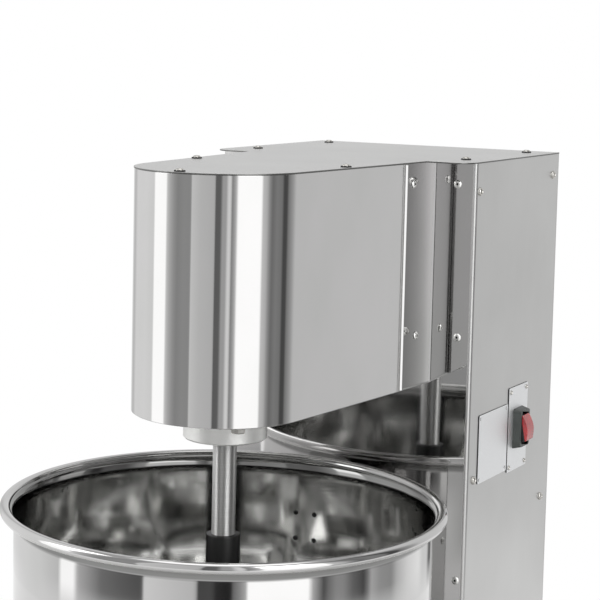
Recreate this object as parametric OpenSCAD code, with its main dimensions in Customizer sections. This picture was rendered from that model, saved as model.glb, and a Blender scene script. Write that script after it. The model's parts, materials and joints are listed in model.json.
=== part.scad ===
// Upright bowl mixer: a sheet-steel column carries a head over a fixed open drum,
// and a geared shaft hangs from the head down to three vanes on the drum's floor.
// X is the width (the switch is on the +X side), +Y points to the back, +Z is up.
// The origin is on the bench, under the middle of the whole machine.

/* [Drum] */
// Inside diameter of the drum wall
drum_in_d = 400; // [360:5:460]
// Thickness of the drum wall
drum_wall = 1.5; // [1:0.1:2.5]
// Depth from the rim bead's centre to the drum floor
bowl_depth = 218; // [180:1:260]
// Thickness of the drum floor
floor_t = 2; // [1.5:0.5:3]
// Diameter of the rolled rim bead
bead_d = 10; // [8:0.5:14]
// How far the neck flares out below the bead
lip_flare = 3.5; // [2.5:0.5:8]
// Height of the flared neck
neck_h = 14; // [8:1:24]
// Inside radius between the wall and the floor
floor_r = 10; // [6:1:20]

/* [Column] */
// Outside width of the column
column_w = 302; // [300:1:380]
// Outside depth of the column without its back panel
column_d = 230; // [228:2:300]
// Free gap between the rim and the column
rim_gap = 22; // [14:1:40]
// Thickness of the casing sheet
sheet = 1.5; // [1:0.1:2]
// Outside radius of the side panels' rolled front edges
edge_r = 4; // [3:0.5:6]
// Leg length of the frame angles
angle_leg = 25; // [22:1:32]
// Thickness of the frame angles
angle_t = 3; // [2:0.5:5]

/* [Head] */
// Radius of the head's round front
head_r = 84; // [84:1:100]
// How far the round front's centre lies before the shaft
head_forward = 12; // [6:1:14]
// Width of the head where it meets the column
head_rear_w = 212; // [210:2:250]
// Gap between the rim bead's centre and the head's underside
head_gap = 94.5; // [80:0.5:140]
// Height of the head
head_h = 231; // [220:1:300]
// Visible length of the cheek plates behind the head shell
cheek_len = 60; // [56:1:90]
// Overhang of the top cover at its sides
cover_lap = 0.5; // [0.5:0.5:4]
// Overhang of the top cover before the column
cover_ear = 22; // [8:1:26]

/* [Drive] */
// Diameter of the mixing shaft
shaft_d = 23; // [20:1:28]
// Module of the gears
gear_m = 2.5; // [2:0.1:2.6]
// Teeth of the main gear
gear_teeth = 52; // [48:4:52]
// Teeth of the pinion
pinion_teeth = 16; // [16:4:16]
// Face width of the gears
gear_w = 30; // [20:1:34]
// Diameter of the layshaft pulley
big_pulley_d = 140; // [110:5:150]
// Diameter of the motor pulley
small_pulley_d = 60; // [50:1:80]
// Width of the drive belt
belt_w = 16; // [10:1:20]
// Thickness of the drive belt
belt_t = 5; // [4:0.5:7]
// Outside diameter of the motor
motor_d = 150; // [130:5:160]
// Length of the motor between its end shields
motor_len = 150; // [120:5:200]
// Radial clearance of a running fit
run_clear = 0.05; // [0.02:0.01:0.1]

/* [Agitator] */
// Diameter of the agitator's sleeve
hub_d = 33; // [32:1:44]
// Depth of the sleeve's top below the rim bead's centre
hub_drop = 28; // [20:1:50]
// Radius swept by the agitator
sweep_r = 184; // [150:1:188]
// Distance from the axis to the agitator plate's straight sides
plate_side = 95; // [80:1:110]
// Height of the vanes
vane_h = 34; // [20:1:50]
// Thickness of the agitator's plate and vanes
vane_t = 5; // [3:0.5:8]
// Gap between the agitator and the drum floor
floor_gap = 3; // [2:0.5:8]

/* [Boss] */
// Diameter of the bearing boss
boss_d = 81; // [74:1:84]
// Height of the bearing boss below the head
boss_h = 28; // [26:1:46]
// Diameter of the boss flange
flange_d = 120; // [118:1:130]
// Diameter of the boss bolts
boss_bolt_d = 8; // [6:1:8]

/* [Base] */
// Height of the rubber feet
foot_h = 25; // [15:1:50]
// Diameter of the rubber feet
foot_d = 44; // [34:1:56]
// Height of the base cabinet above its plate
base_h = 193; // [120:1:260]
// Thickness of the base plate
base_t = 3; // [2:0.5:5]
// Distance from the shaft to the base's front
base_reach = 150; // [130:5:190]
// Thickness of the ring under the drum
pad_h = 5; // [3:0.5:10]

/* [Switch] */
// Width of the switch plate
switch_plate_w = 54; // [50:1:64]
// Height of the switch plate
switch_plate_h = 93; // [80:1:120]
// Width of the switch bezel
bezel_w = 28; // [26:1:36]
// Height of the switch bezel
bezel_h = 44; // [40:1:56]
// How far the bezel stands out
bezel_t = 9; // [7:0.5:12]
// Rocking angle from off to on
rocker_swing = 22; // [14:1:24]

/* [Fasteners] */
// Head diameter of the casing screws
screw_head_d = 9; // [8:0.5:10]
// Head height of the casing screws
screw_head_h = 3; // [2:0.5:4]
// Head diameter of the blind rivets
rivet_head_d = 8.5; // [7:0.5:9.5]

/* [Hidden] */
$fn = 64;
over = 1;
inside = 0.03;
seat_gap = 0.3;

// Levels above the bench
col_bot = foot_h + base_t;
base_top = col_bot + base_h;
floor_z = base_top + pad_h + floor_t;
rim_z = floor_z + bowl_depth;
head_bot = rim_z + head_gap;
head_top = head_bot + head_h;

// Places along Y
drum_r = drum_in_d / 2;
drum_out_r = drum_r + drum_wall;
bead_c = drum_out_r + lip_flare + bead_d / 2;
rim_r = bead_c + bead_d / 2;
total_d = 2 * rim_r + rim_gap + column_d + sheet + screw_head_h;
shaft_y = rim_r - total_d / 2;
front_y = shaft_y + rim_r + rim_gap;
back_y = front_y + column_d;
mid_y = (front_y + back_y) / 2;
base_front = shaft_y - base_reach;
base_corner = 40;

// Places along X
col_x = column_w / 2;
post_x = col_x - edge_r;
post_y = front_y + sheet;
rail_y = post_y + angle_leg;

// Head outline
head_y = shaft_y - head_forward;
head_len = front_y - head_y;
head_half = head_rear_w / 2;
shell_end = front_y - cheek_len;
cheek_in = sheet + seat_gap;
bracket_t = 2.5;
bracket_h = 28;
cover_corner = 20;
window_x = head_half - 14;
window_top = head_top - 20;

// Gear train
gear_r = gear_m * gear_teeth / 2;
pinion_r = gear_m * pinion_teeth / 2;
lay_y = shaft_y + gear_r + pinion_r;
motor_y = mid_y + 4;
addendum = 0.88 * gear_m;
dedendum = 1.2 * gear_m;
tooth_half = 0.64 * gear_m;
flank = 0.36;

// Bearings and seals as [bore, outside diameter, width]
main_bearing = [30, 55, 13];
lay_bearing = [20, 42, 12];
motor_bearing = [20, 42, 12];
main_seal = [shaft_d, shaft_d + 16, 8];
lay_seal = [20, 32, 5];

// Gearbox levels and walls
beam_t = 6;
beam_x = 62;
beam_rise = 60;
beam_in = 32;
box_bot = head_bot + sheet + beam_t;
box_floor_t = 16;
box_wall = 8;
gear_z = box_bot + box_floor_t + 10;
box_top = gear_z + gear_w + 12;
box_lid_t = 18;
box_lid_top = box_top + box_lid_t;
box_r = gear_r + addendum + 4 + box_wall;
lay_lobe_r = lay_bearing[1] / 2 + 5 + box_wall;
box_bolt_r = box_r - box_wall / 2;
box_bolt_angles = [-200, -160, -120, -60, -20, 20];
gear_seat_r = 17;
key_w = 8;
key_h = 7;
pinion_seat_r = 12;

// Boss
boss_bot = head_bot - boss_h;
flange_t = 8;
spigot_r = main_bearing[1] / 2 + 5;
boss_bolt_ring = (boss_d + flange_d) / 4;
bolt_slack = 0.3;

// Belt drive levels
belt_slack = 0.3;
pulley_rim = 3;
pulley_h = belt_w + 2 * pulley_rim;
pulley_z = box_lid_top + 12;
belt_z = pulley_z + pulley_rim;

// Motor levels
plate_t = 6;
plate_z = pulley_z - 24;
shield_t = 20;
body_top = plate_z - shield_t;
body_bot = body_top - motor_len;
shield_bot = body_bot - shield_t;
rotor_r = 38;
air_gap = 0.5;
stator_r = motor_d / 2 - 9;
fan_h = 18;
fan_z = shield_bot - 8 - fan_h;
fan_cover_bot = fan_z - 8;
terminal_size = [40, 70, 80];
capacitor_r = 21;
capacitor_h = 80;

// Agitator levels
vane_z = floor_z + floor_gap;
hub_top = rim_z - hub_drop;
sleeve_cap = 10;
vane_turn = -4.5;
vane_lean = 28;

// Side panel furniture
tag_t = 1;
switch_y = front_y + 132;
switch_z = rim_z + 30;
rocker_r = bezel_h / 2 - 6;
rocker_w = bezel_w - 9;
rocker_x = col_x + tag_t + 4;
rocker_face = 9;
rating_y = front_y + 63.5;
rating_z = rim_z + 24;
rating_w = 78;
rating_h = 73;
gland_y = back_y - 50;
gland_z = col_bot + 50;
gland_r = 10;
cord_r = 4.5;

// Fastener places
screw_r = 2.5;
screw_l = 9;
rivet_r = 2;
side_screws = [[9, head_top - 29], [column_d - 14, head_top - 23], [15, rim_z - 6],
    [column_d - 19, rim_z - 64], [15, rim_z - 220], [column_d - 14, rim_z - 240],
    [20, col_bot + 20], [column_d - 14, col_bot + 20]];
back_screws = [for (x = [-1, 1], z = [head_top - 14, (head_top + col_bot) / 2, col_bot + 20])
    [x * (post_x - 12), z]];
cover_screws = [for (x = [-1, 1], y = [rail_y + 4, back_y - 30]) [x * (post_x - 22), y]];
front_rivets = [for (x = [-1, 1], p = [[17, head_top - 22], [12.5, rim_z + 145], [6, rim_z - 111]])
    [x * (post_x - p[0]), p[1]]];
cheek_rivets = [[front_y - 42, head_top - 21], [front_y - 30, rim_z + 148]];
tab_l = 16;
tab_t = 3;
tab_screw = 6;
tab_side_y = shaft_y + 75;

// ---------- shared shapes ----------

module block(lo, hi) {
    translate(lo) cube(hi - lo);
}

module tube(r_out, r_in, h) {
    difference() {
        cylinder(r = r_out, h = h);
        translate([0, 0, -over]) cylinder(r = r_in, h = h + 2 * over);
    }
}

module at_shaft(z) {
    translate([0, shaft_y, z]) children();
}

module at_layshaft(z) {
    translate([0, lay_y, z]) children();
}

module at_motor(z) {
    translate([0, motor_y, z]) children();
}

module both_sides() {
    children();
    mirror([1, 0, 0]) children();
}

// Pan-head screw standing on z = 0, with its shank below
module pan_screw() {
    rotate_extrude() polygon([[0, screw_head_h], [screw_head_d * 0.28, screw_head_h],
        [screw_head_d * 0.44, screw_head_h * 0.62], [screw_head_d / 2, 0],
        [screw_r, 0], [screw_r, -screw_l], [0, -screw_l]]);
}

// Blind rivet standing on z = 0, with the mandrel's pit in its head
module blind_rivet(sleeve_l) {
    rotate_extrude() polygon([[0, 0.6], [1.1, 0.6], [1.2, 1.6], [rivet_head_d * 0.3, 1.5],
        [rivet_head_d * 0.45, 0.7], [rivet_head_d / 2, 0], [rivet_r, 0],
        [rivet_r, -sleeve_l], [0, -sleeve_l]]);
}

// Hexagon bolt with its head's underside on z = 0
module hex_bolt(d, l) {
    cylinder(r = d * 0.92, h = d * 0.66, $fn = 6);
    translate([0, 0, -l]) cylinder(r = d / 2, h = l);
}

// Ring bearing with grooved faces
module ball_bearing(b, slack) {
    bore = b[0] / 2 + slack;
    out = b[1] / 2;
    mid = (bore + out) / 2;
    half = (out - bore) / 5;
    rotate_extrude() polygon([[bore, 0], [mid - half, 0], [mid - half, 1], [mid + half, 1],
        [mid + half, 0], [out, 0], [out, b[2]], [mid + half, b[2]], [mid + half, b[2] - 1],
        [mid - half, b[2] - 1], [mid - half, b[2]], [bore, b[2]]]);
}

// Two circles on the Y axis joined by straight sides, which lie just inside the tangents
module strap_outline(r1, y1, r2, y2) {
    s = asin((r2 - r1) / (y2 - y1));
    translate([0, y1]) circle(r = r1);
    translate([0, y2]) circle(r = r2);
    a = r1 - inside;
    b = r2 - inside;
    polygon([[-a * cos(s), y1 - a * sin(s)], [a * cos(s), y1 - a * sin(s)],
        [b * cos(s), y2 - b * sin(s)], [-b * cos(s), y2 - b * sin(s)]]);
}

function head_slope() = atan2(head_half - head_r, head_len);
function head_x(g, y) = (head_r + g) / cos(head_slope()) + (y - head_y) * tan(head_slope());

// Outline of the head in plan, grown by g: a round front, and sides that widen to the rear
module head_outline(g, y_end) {
    r = head_r + g;
    tx = r * cos(head_slope());
    ty = head_y - r * sin(head_slope());
    translate([0, head_y]) circle(r = r);
    polygon([[inside - tx, ty], [tx - inside, ty],
        [head_x(g, y_end), y_end], [-head_x(g, y_end), y_end]]);
}

// Outline of the base in plan, shrunk by g, from its round front corners to y_end
module base_outline(g, y_end) {
    x = col_x - g;
    c = base_corner - g;
    y = base_front + base_corner;
    translate([-x, y]) square([2 * x, y_end - y]);
    translate([-x + c, base_front + g]) square([2 * (x - c), base_corner]);
    for (s = [-1, 1]) translate([s * (x - c), y]) circle(r = c);
}

module angle_outline() {
    polygon([[0, 0], [angle_leg, 0], [angle_leg, angle_t], [angle_t, angle_t],
        [angle_t, angle_leg], [0, angle_leg]]);
}

// Corners of tooth number i: root, tip, tip, root
function tooth(a, pr) = let (
    tip = pr + addendum,
    root = pr - dedendum,
    at = asin((tooth_half - addendum * flank) / tip),
    ar = asin((tooth_half + dedendum * flank) / root))
    [[root * cos(a - ar), root * sin(a - ar)], [tip * cos(a - at), tip * sin(a - at)],
    [tip * cos(a + at), tip * sin(a + at)], [root * cos(a + ar), root * sin(a + ar)]];

// Spur gear with tooth number 0 turned by the angle turn
module spur_gear(teeth, bore_r, turn) {
    difference() {
        linear_extrude(gear_w) polygon([for (i = [0:teeth - 1],
            p = tooth(turn + i * 360 / teeth, gear_m * teeth / 2)) p]);
        translate([0, 0, -over]) cylinder(r = bore_r, h = gear_w + 2 * over);
    }
}

module pulley(d, bore_r) {
    r = d / 2;
    edge = r + pulley_rim;
    lip = pulley_rim - 0.5;
    rotate_extrude() polygon([[bore_r, 0], [edge, 0], [edge, lip], [r, lip],
        [r, pulley_h - lip], [edge, pulley_h - lip], [edge, pulley_h], [bore_r, pulley_h]]);
}

// ---------- base ----------

foot_x = col_x - foot_d / 2 - 12;
foot_ys = [base_front + foot_d / 2 + 22, back_y - foot_d / 2 - 12];
foot_bolt_d = 8;
foot_pit = 8;

module at_feet(z) {
    for (s = [-1, 1], y = foot_ys) translate([s * foot_x, y, z]) children();
}

module rubber_feet() color("#1c1c1c") at_feet(0) rotate_extrude()
    polygon([[foot_bolt_d / 2 + bolt_slack, foot_pit], [foot_d * 0.2, foot_pit],
        [foot_d * 0.2, 0], [foot_d * 0.42, 0], [foot_d / 2, 4], [foot_d * 0.42, foot_h],
        [foot_bolt_d / 2 + bolt_slack, foot_h]]);

module foot_bolts() color("silver") {
    nut_z = foot_h + base_t;
    at_feet(foot_pit) mirror([0, 0, 1]) hex_bolt(foot_bolt_d, nut_z + 10 - foot_pit);
    at_feet(nut_z) tube(foot_bolt_d * 0.8, foot_bolt_d / 2, 6.5);
}

module base_plate() color("gray") difference() {
    translate([0, 0, foot_h]) linear_extrude(base_t) base_outline(0, back_y + sheet);
    at_feet(foot_h - over) cylinder(r = foot_bolt_d / 2 + bolt_slack, h = base_t + 2 * over);
}

module base_cabinet() color("gainsboro") translate([0, 0, col_bot]) difference() {
    linear_extrude(base_h) base_outline(0, front_y);
    translate([0, 0, -over]) linear_extrude(base_h - sheet + over)
        base_outline(sheet, front_y + over);
}

// ---------- drum ----------

module drum_pad() color("#2a2a2a") at_shaft(base_top) cylinder(r = drum_r - 4, h = pad_h);

neck_steps = 8;
module drum_shell() color("silver") at_shaft(rim_z) {
    flare = drum_wall + lip_flare;
    angles = [for (i = [0:neck_steps]) i * 90 / neck_steps];
    inner = [for (a = angles) [drum_r + flare * (1 - cos(a)), neck_h * (sin(a) - 1)]];
    outer = [for (a = angles) [drum_r + flare * (1 - cos(a)) + drum_wall * cos(a),
        neck_h * (sin(a) - 1) - drum_wall * sin(a)]];
    bottom = base_top + seat_gap - rim_z;
    rotate_extrude($fn = 128) polygon(concat([[drum_r, bottom]], inner,
        [for (i = [neck_steps:-1:0]) outer[i]], [[drum_out_r, bottom]]));
    rotate_extrude($fn = 128) translate([bead_c, 0]) difference() {
        circle(d = bead_d);
        circle(d = bead_d - 2 * drum_wall);
    }
}

// Dished floor: its turned-up edge lies against the drum wall
module drum_floor() color("gainsboro") at_shaft(floor_z) {
    bend = drum_r - floor_t - floor_r;
    translate([0, 0, -floor_t]) cylinder(r = bend, h = floor_t, $fn = 128);
    rotate_extrude($fn = 128) translate([bend, floor_r]) intersection() {
        difference() {
            circle(r = floor_r + floor_t);
            circle(r = floor_r);
        }
        translate([-0.01, -2 * floor_r]) square([2 * floor_r, 2 * floor_r]);
    }
}

bracket_x = -18;
bracket_half = 22;
bracket_top = rim_z - 40;
bracket_bot = rim_z - 102;
drum_screw_x = 10.7;
drum_screw_low = rim_z - 84;
drum_screw_high = rim_z - 56;

module drum_bracket() color("gray") difference() {
    block([bracket_x - bracket_half, shaft_y + drum_r - 10, bracket_bot],
        [bracket_x + bracket_half, front_y, bracket_top]);
    block([bracket_x - bracket_half + 3, shaft_y + drum_out_r + 3, bracket_bot - over],
        [bracket_x + bracket_half - 3, front_y - 3, bracket_top + over]);
    at_shaft(bracket_bot - over) cylinder(r = drum_out_r, h = bracket_top - bracket_bot + 2 * over,
        $fn = 128);
}

module drum_screws() color("#303030")
    for (s = [-1, 1], z = [drum_screw_low, drum_screw_high])
        at_shaft(z) rotate(90 + asin((s * drum_screw_x - bracket_x) / drum_r))
            translate([drum_r - 0.05, 0, 0]) rotate([0, -90, 0]) {
                cylinder(r1 = 2.8, r2 = 1.8, h = 1.4);
                translate([0, 0, -5]) cylinder(r = 1.6, h = 5);
            }

// ---------- column ----------

module corner_post(x_sign, y, y_sign) {
    flip_x = x_sign > 0 ? 1 : 0;
    flip_y = y_sign < 0 ? 1 : 0;
    translate([x_sign * post_x, y, col_bot]) mirror([flip_x, 0, 0]) mirror([0, flip_y, 0])
        linear_extrude(head_top - col_bot) angle_outline();
}

module frame_posts() color("dimgray") for (s = [-1, 1]) {
    corner_post(s, post_y, 1);
    corner_post(s, back_y, -1);
}

// Angle rails between the posts, with their flat legs level with z
module side_rails(z) {
    both_sides() translate([-post_x, back_y - angle_leg, z]) rotate([90, 0, 0])
        linear_extrude(back_y - angle_leg - rail_y) mirror([0, 1]) angle_outline();
}

module frame_rails() color("dimgray") {
    side_rails(head_top);
    side_rails(plate_z);
    side_rails(base_top);
    for (y = [post_y, back_y - angle_t])
        block([angle_leg - post_x, y, head_top - angle_leg + 6], [post_x - angle_leg, y + angle_t, head_top]);
}

module column_front_panel() color("silver") difference() {
    block([-post_x, front_y, col_bot], [post_x, post_y, head_top]);
    block([-window_x, front_y - over, head_bot + sheet], [window_x, post_y + over, window_top]);
    for (p = front_rivets) translate([p[0], post_y + over, p[1]]) rotate([90, 0, 0])
        cylinder(r = rivet_r, h = sheet + 2 * over);
}

// Side panel on the +X side, with a rolled front edge
module side_panel() difference() {
    translate([0, 0, col_bot]) linear_extrude(head_top - col_bot) {
        translate([col_x - sheet, front_y + edge_r]) square([sheet, column_d - edge_r]);
        intersection() {
            translate([post_x, front_y + edge_r]) difference() {
                circle(r = edge_r);
                circle(r = edge_r - sheet);
            }
            translate([post_x, front_y]) square(edge_r);
        }
    }
    for (p = side_screws) translate([col_x - sheet - over, front_y + p[0], p[1]]) rotate([0, 90, 0])
        cylinder(r = screw_r, h = sheet + 2 * over);
}

module column_right_panel() color("lightgray") difference() {
    side_panel();
    block([col_x - sheet - over, switch_y - bezel_w / 2 + 2, switch_z - bezel_h / 2 + 2],
        [col_x + over, switch_y + bezel_w / 2 - 2, switch_z + bezel_h / 2 - 2]);
}

module column_left_panel() color("lightgray") difference() {
    mirror([1, 0, 0]) side_panel();
    translate([-col_x - over, gland_y, gland_z]) rotate([0, 90, 0])
        cylinder(r = gland_r, h = sheet + 2 * over);
}

vent_h = 4;
vent_w = 90;
vent_step = 12;
vent_rows = 12;
vent_z = shield_bot - vent_rows * vent_step / 2;
module column_back_panel() color("lightgray") difference() {
    block([-col_x, back_y, col_bot], [col_x, back_y + sheet, head_top]);
    for (i = [0:vent_rows - 1], s = [-1, 1])
        translate([s * (vent_w / 2 + 14) - vent_w / 2, back_y - over, vent_z + i * vent_step])
            cube([vent_w, sheet + 2 * over, vent_h]);
    for (p = back_screws) translate([p[0], back_y + sheet + over, p[1]]) rotate([90, 0, 0])
        cylinder(r = screw_r, h = sheet + 2 * over);
}

// ---------- head ----------

front_tab_y = head_y - head_r + sheet + tab_screw;
side_tab_x = head_x(-sheet, tab_side_y) - tab_screw;

module cover_holes() {
    for (p = cover_screws) translate([p[0], p[1], 0]) children();
    translate([0, front_tab_y, 0]) children();
    for (s = [-1, 1]) translate([s * side_tab_x, tab_side_y, 0]) children();
}

module top_cover() color("gainsboro") translate([0, 0, head_top]) difference() {
    linear_extrude(sheet) {
        x = col_x + cover_lap;
        front = front_y - cover_ear;
        translate([-x, front + cover_corner])
            square([2 * x, back_y + sheet - front - cover_corner]);
        translate([cover_corner - x, front]) square([2 * (x - cover_corner), 2 * cover_corner]);
        for (s = [-1, 1]) translate([s * (x - cover_corner), front + cover_corner])
            circle(r = cover_corner);
        head_outline(cover_lap, front_y + over / 2);
    }
    cover_holes() translate([0, 0, -over]) cylinder(r = screw_r, h = sheet + 2 * over);
}

// Tabs inside the head shell that take the cover's screws
module cover_tabs() color("dimgray") translate([0, 0, head_top - tab_t]) linear_extrude(tab_t)
    intersection() {
        head_outline(-sheet, front_y);
        union() {
            translate([-tab_l / 2, front_tab_y - tab_l]) square([tab_l, 1.5 * tab_l]);
            both_sides() translate([side_tab_x - tab_l / 2, tab_side_y - tab_l / 2])
                square([1.5 * tab_l, tab_l]);
        }
    }

module head_shell() color("silver") translate([0, 0, head_bot]) difference() {
    linear_extrude(head_h) head_outline(0, shell_end);
    translate([0, 0, -over]) linear_extrude(head_h + 2 * over)
        head_outline(-sheet, shell_end + over);
}

// Cheek plates behind the shell, set in from its skin
module head_cheeks() color("silver") translate([0, 0, head_bot + sheet])
    linear_extrude(head_h - sheet) intersection() {
        difference() {
            head_outline(-cheek_in, front_y);
            head_outline(-cheek_in - sheet, front_y + over);
        }
        translate([-col_x, shell_end - 14]) square([column_w, cheek_len + 14]);
    }

module boss_bolt_places(z) {
    for (i = [0:3]) at_shaft(z) rotate(45 + 90 * i) translate([boss_bolt_ring, 0, 0]) children();
}

module head_floor_plate() color("silver") difference() {
    translate([0, 0, head_bot]) linear_extrude(sheet) head_outline(-cheek_in, front_y);
    at_shaft(head_bot - over) cylinder(r = spigot_r + bolt_slack, h = sheet + 2 * over);
    boss_bolt_places(head_bot - over)
        cylinder(r = boss_bolt_d / 2 + bolt_slack, h = sheet + 2 * over);
}

// Plate and two webs that carry the gearbox from the column's posts
module head_beams() color("dimgray") {
    z = head_bot + sheet;
    web_y = lay_y + lay_lobe_r + 8;
    wing_y = post_y + angle_t;
    difference() {
        block([-beam_x, shaft_y - 66, z], [beam_x, front_y + beam_in, z + beam_t]);
        at_shaft(z - over) cylinder(r = spigot_r + bolt_slack, h = beam_t + 2 * over);
        boss_bolt_places(z - over) cylinder(r = boss_bolt_d / 2 + bolt_slack, h = beam_t + 2 * over);
    }
    both_sides() {
        block([beam_x - beam_t, web_y, z], [beam_x, front_y + beam_in, z + beam_rise]);
        block([beam_x, wing_y, z], [post_x - angle_t, front_y + beam_in, z + beam_t]);
    }
}

module corner_brackets() color("dimgray")
    for (p = cheek_rivets) translate([0, 0, p[1] - bracket_h / 2]) linear_extrude(bracket_h)
        intersection() {
            head_outline(-cheek_in - sheet, front_y);
            difference() {
                translate([-col_x, front_y - 52]) square([column_w, 52]);
                head_outline(-cheek_in - sheet - bracket_t, front_y - bracket_t);
                translate([-window_x, front_y - 60]) square([2 * window_x, 61]);
            }
        }

// ---------- gearbox ----------

module gearbox_housing() color("darkgray") difference() {
    translate([0, 0, box_bot]) linear_extrude(box_top - box_bot)
        strap_outline(box_r, shaft_y, lay_lobe_r, lay_y);
    translate([0, 0, box_bot + box_floor_t]) linear_extrude(box_top - box_bot)
        strap_outline(box_r - box_wall, shaft_y, lay_lobe_r - box_wall, lay_y);
    at_shaft(box_bot - over) cylinder(r = spigot_r + bolt_slack, h = box_floor_t + 2 * over);
    at_layshaft(box_bot + box_floor_t - lay_bearing[2]) cylinder(r = lay_bearing[1] / 2, h = box_floor_t);
}

module gearbox_cover() color("darkgray") difference() {
    translate([0, 0, box_top]) linear_extrude(box_lid_t)
        strap_outline(box_r, shaft_y, lay_lobe_r, lay_y);
    at_shaft(box_top - over) cylinder(r = main_bearing[1] / 2, h = main_bearing[2] + over);
    at_layshaft(box_top - over) cylinder(r = lay_bearing[1] / 2, h = lay_bearing[2] + over);
    at_layshaft(box_top) cylinder(r = lay_seal[1] / 2 - 2, h = box_lid_t + over);
    at_layshaft(box_lid_top - lay_seal[2]) cylinder(r = lay_seal[1] / 2, h = lay_seal[2] + over);
}

module gearbox_bolts() color("silver") {
    for (a = box_bolt_angles) at_shaft(box_lid_top) rotate(a) translate([box_bolt_r, 0, 0])
        hex_bolt(5, box_lid_t + 12);
    at_layshaft(box_lid_top) translate([0, lay_lobe_r - box_wall / 2, 0]) hex_bolt(5, box_lid_t + 12);
}

module bearing_boss() color("lightgray") difference() {
    union() {
        at_shaft(boss_bot) cylinder(d = boss_d, h = boss_h);
        at_shaft(head_bot - flange_t) cylinder(d = flange_d, h = flange_t);
        at_shaft(head_bot) cylinder(r = spigot_r, h = box_bot + box_floor_t - head_bot);
    }
    at_shaft(boss_bot - over) cylinder(r = main_seal[1] / 2, h = main_seal[2] + over);
    at_shaft(boss_bot) cylinder(r = main_bearing[0] / 2 + 2, h = boss_h);
    at_shaft(boss_bot + main_seal[2] + 2) cylinder(r = main_bearing[1] / 2, h = 2 * boss_h);
    boss_bolt_places(head_bot - flange_t - over)
        cylinder(r = boss_bolt_d / 2 + bolt_slack, h = flange_t + 2 * over);
}

module boss_bolts() color("silver") boss_bolt_places(head_bot - flange_t) mirror([0, 0, 1])
    hex_bolt(boss_bolt_d, flange_t + sheet + beam_t + box_floor_t - 2);

lower_bearing_z = boss_bot + main_seal[2] + 2;

module main_bearings() color("lightsteelblue") {
    at_shaft(lower_bearing_z) ball_bearing(main_bearing, run_clear);
    at_shaft(box_top) ball_bearing(main_bearing, run_clear);
}

module layshaft_bearings() color("lightsteelblue") {
    at_layshaft(box_bot + box_floor_t - lay_bearing[2]) ball_bearing(lay_bearing, run_clear);
    at_layshaft(box_top) ball_bearing(lay_bearing, run_clear);
}

module shaft_seals() color("#202020") {
    at_shaft(boss_bot) tube(main_seal[1] / 2, main_seal[0] / 2 + run_clear, main_seal[2]);
    at_layshaft(box_lid_top - lay_seal[2])
        tube(lay_seal[1] / 2, lay_seal[0] / 2 + run_clear, lay_seal[2]);
}

// ---------- mixing shaft ----------

shaft_bot = vane_z + sleeve_cap;
shaft_top = box_top + main_bearing[2];

module gear_key() color("gray") at_shaft(gear_z + 3)
    translate([gear_seat_r - key_h / 2, -key_w / 2, 0]) cube([key_h, key_w, gear_w - 6]);

module mixing_shaft() color("lightgray") difference() {
    at_shaft(0) rotate_extrude() polygon([[0, shaft_bot], [shaft_d / 2, shaft_bot],
        [shaft_d / 2, lower_bearing_z - 1], [main_bearing[0] / 2, lower_bearing_z - 1],
        [main_bearing[0] / 2, gear_z - 7], [gear_seat_r + 4, gear_z - 7],
        [gear_seat_r + 4, gear_z], [gear_seat_r, gear_z], [gear_seat_r, gear_z + gear_w],
        [main_bearing[0] / 2, gear_z + gear_w], [main_bearing[0] / 2, shaft_top], [0, shaft_top]]);
    gear_key();
}

module main_gear() color("dimgray") difference() {
    at_shaft(gear_z) spur_gear(gear_teeth, gear_seat_r, 90);
    gear_key();
    for (i = [0:5]) at_shaft(gear_z - over) rotate(60 * i) translate([gear_r * 0.62, 0, 0])
        cylinder(r = gear_r * 0.16, h = gear_w + 2 * over);
}

module agitator_sleeve() color("#161616") at_shaft(0) rotate_extrude()
    polygon([[0, vane_z], [hub_d / 2, vane_z], [hub_d / 2, hub_top - 1.5],
        [hub_d / 2 - 1.5, hub_top], [shaft_d / 2, hub_top], [shaft_d / 2, shaft_bot],
        [0, shaft_bot]]);

// Three-cornered plate with a leaning vane along each corner
module agitator_vanes() color("gainsboro") at_shaft(vane_z) difference() {
    union() {
        linear_extrude(vane_t) intersection() {
            rotate(vane_turn) circle(r = 2 * plate_side, $fn = 3);
            circle(r = sweep_r);
        }
        intersection() {
            cylinder(r = sweep_r - 4, h = vane_h);
            for (i = [0:2]) rotate(vane_turn + 120 * i) rotate([-vane_lean, 0, 0])
                translate([0, -vane_t / 2, 0]) cube([sweep_r, vane_t, 2 * vane_h]);
        }
    }
    translate([0, 0, -over]) cylinder(r = hub_d / 2, h = 2 * vane_h);
}

// ---------- layshaft ----------

module layshaft() color("lightgray") at_layshaft(0) {
    r = lay_bearing[0] / 2;
    low = box_bot + box_floor_t - lay_bearing[2] + seat_gap;
    high = pulley_z + pulley_h + 3;
    rotate_extrude() polygon([[0, low], [r, low], [r, gear_z - 4], [pinion_seat_r, gear_z - 4],
        [pinion_seat_r, gear_z + gear_w + 4], [r, gear_z + gear_w + 4], [r, high], [0, high]]);
}

module pinion() color("dimgray")
    at_layshaft(gear_z) spur_gear(pinion_teeth, pinion_seat_r, 180 / pinion_teeth - 90);

module layshaft_pulley() color("gray") at_layshaft(pulley_z) difference() {
    pulley(big_pulley_d, lay_bearing[0] / 2);
    for (i = [0:4]) rotate(72 * i + 20) translate([big_pulley_d * 0.29, 0, -over])
        cylinder(r = big_pulley_d * 0.11, h = pulley_h + 2 * over);
}

module drive_belt() color("#1a1a1a") translate([0, 0, belt_z]) linear_extrude(belt_w) {
    big = big_pulley_d / 2 + belt_slack;
    small = small_pulley_d / 2 + belt_slack;
    difference() {
        strap_outline(big + belt_t, lay_y, small + belt_t, motor_y);
        strap_outline(big, lay_y, small, motor_y);
    }
}

// ---------- motor ----------

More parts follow.
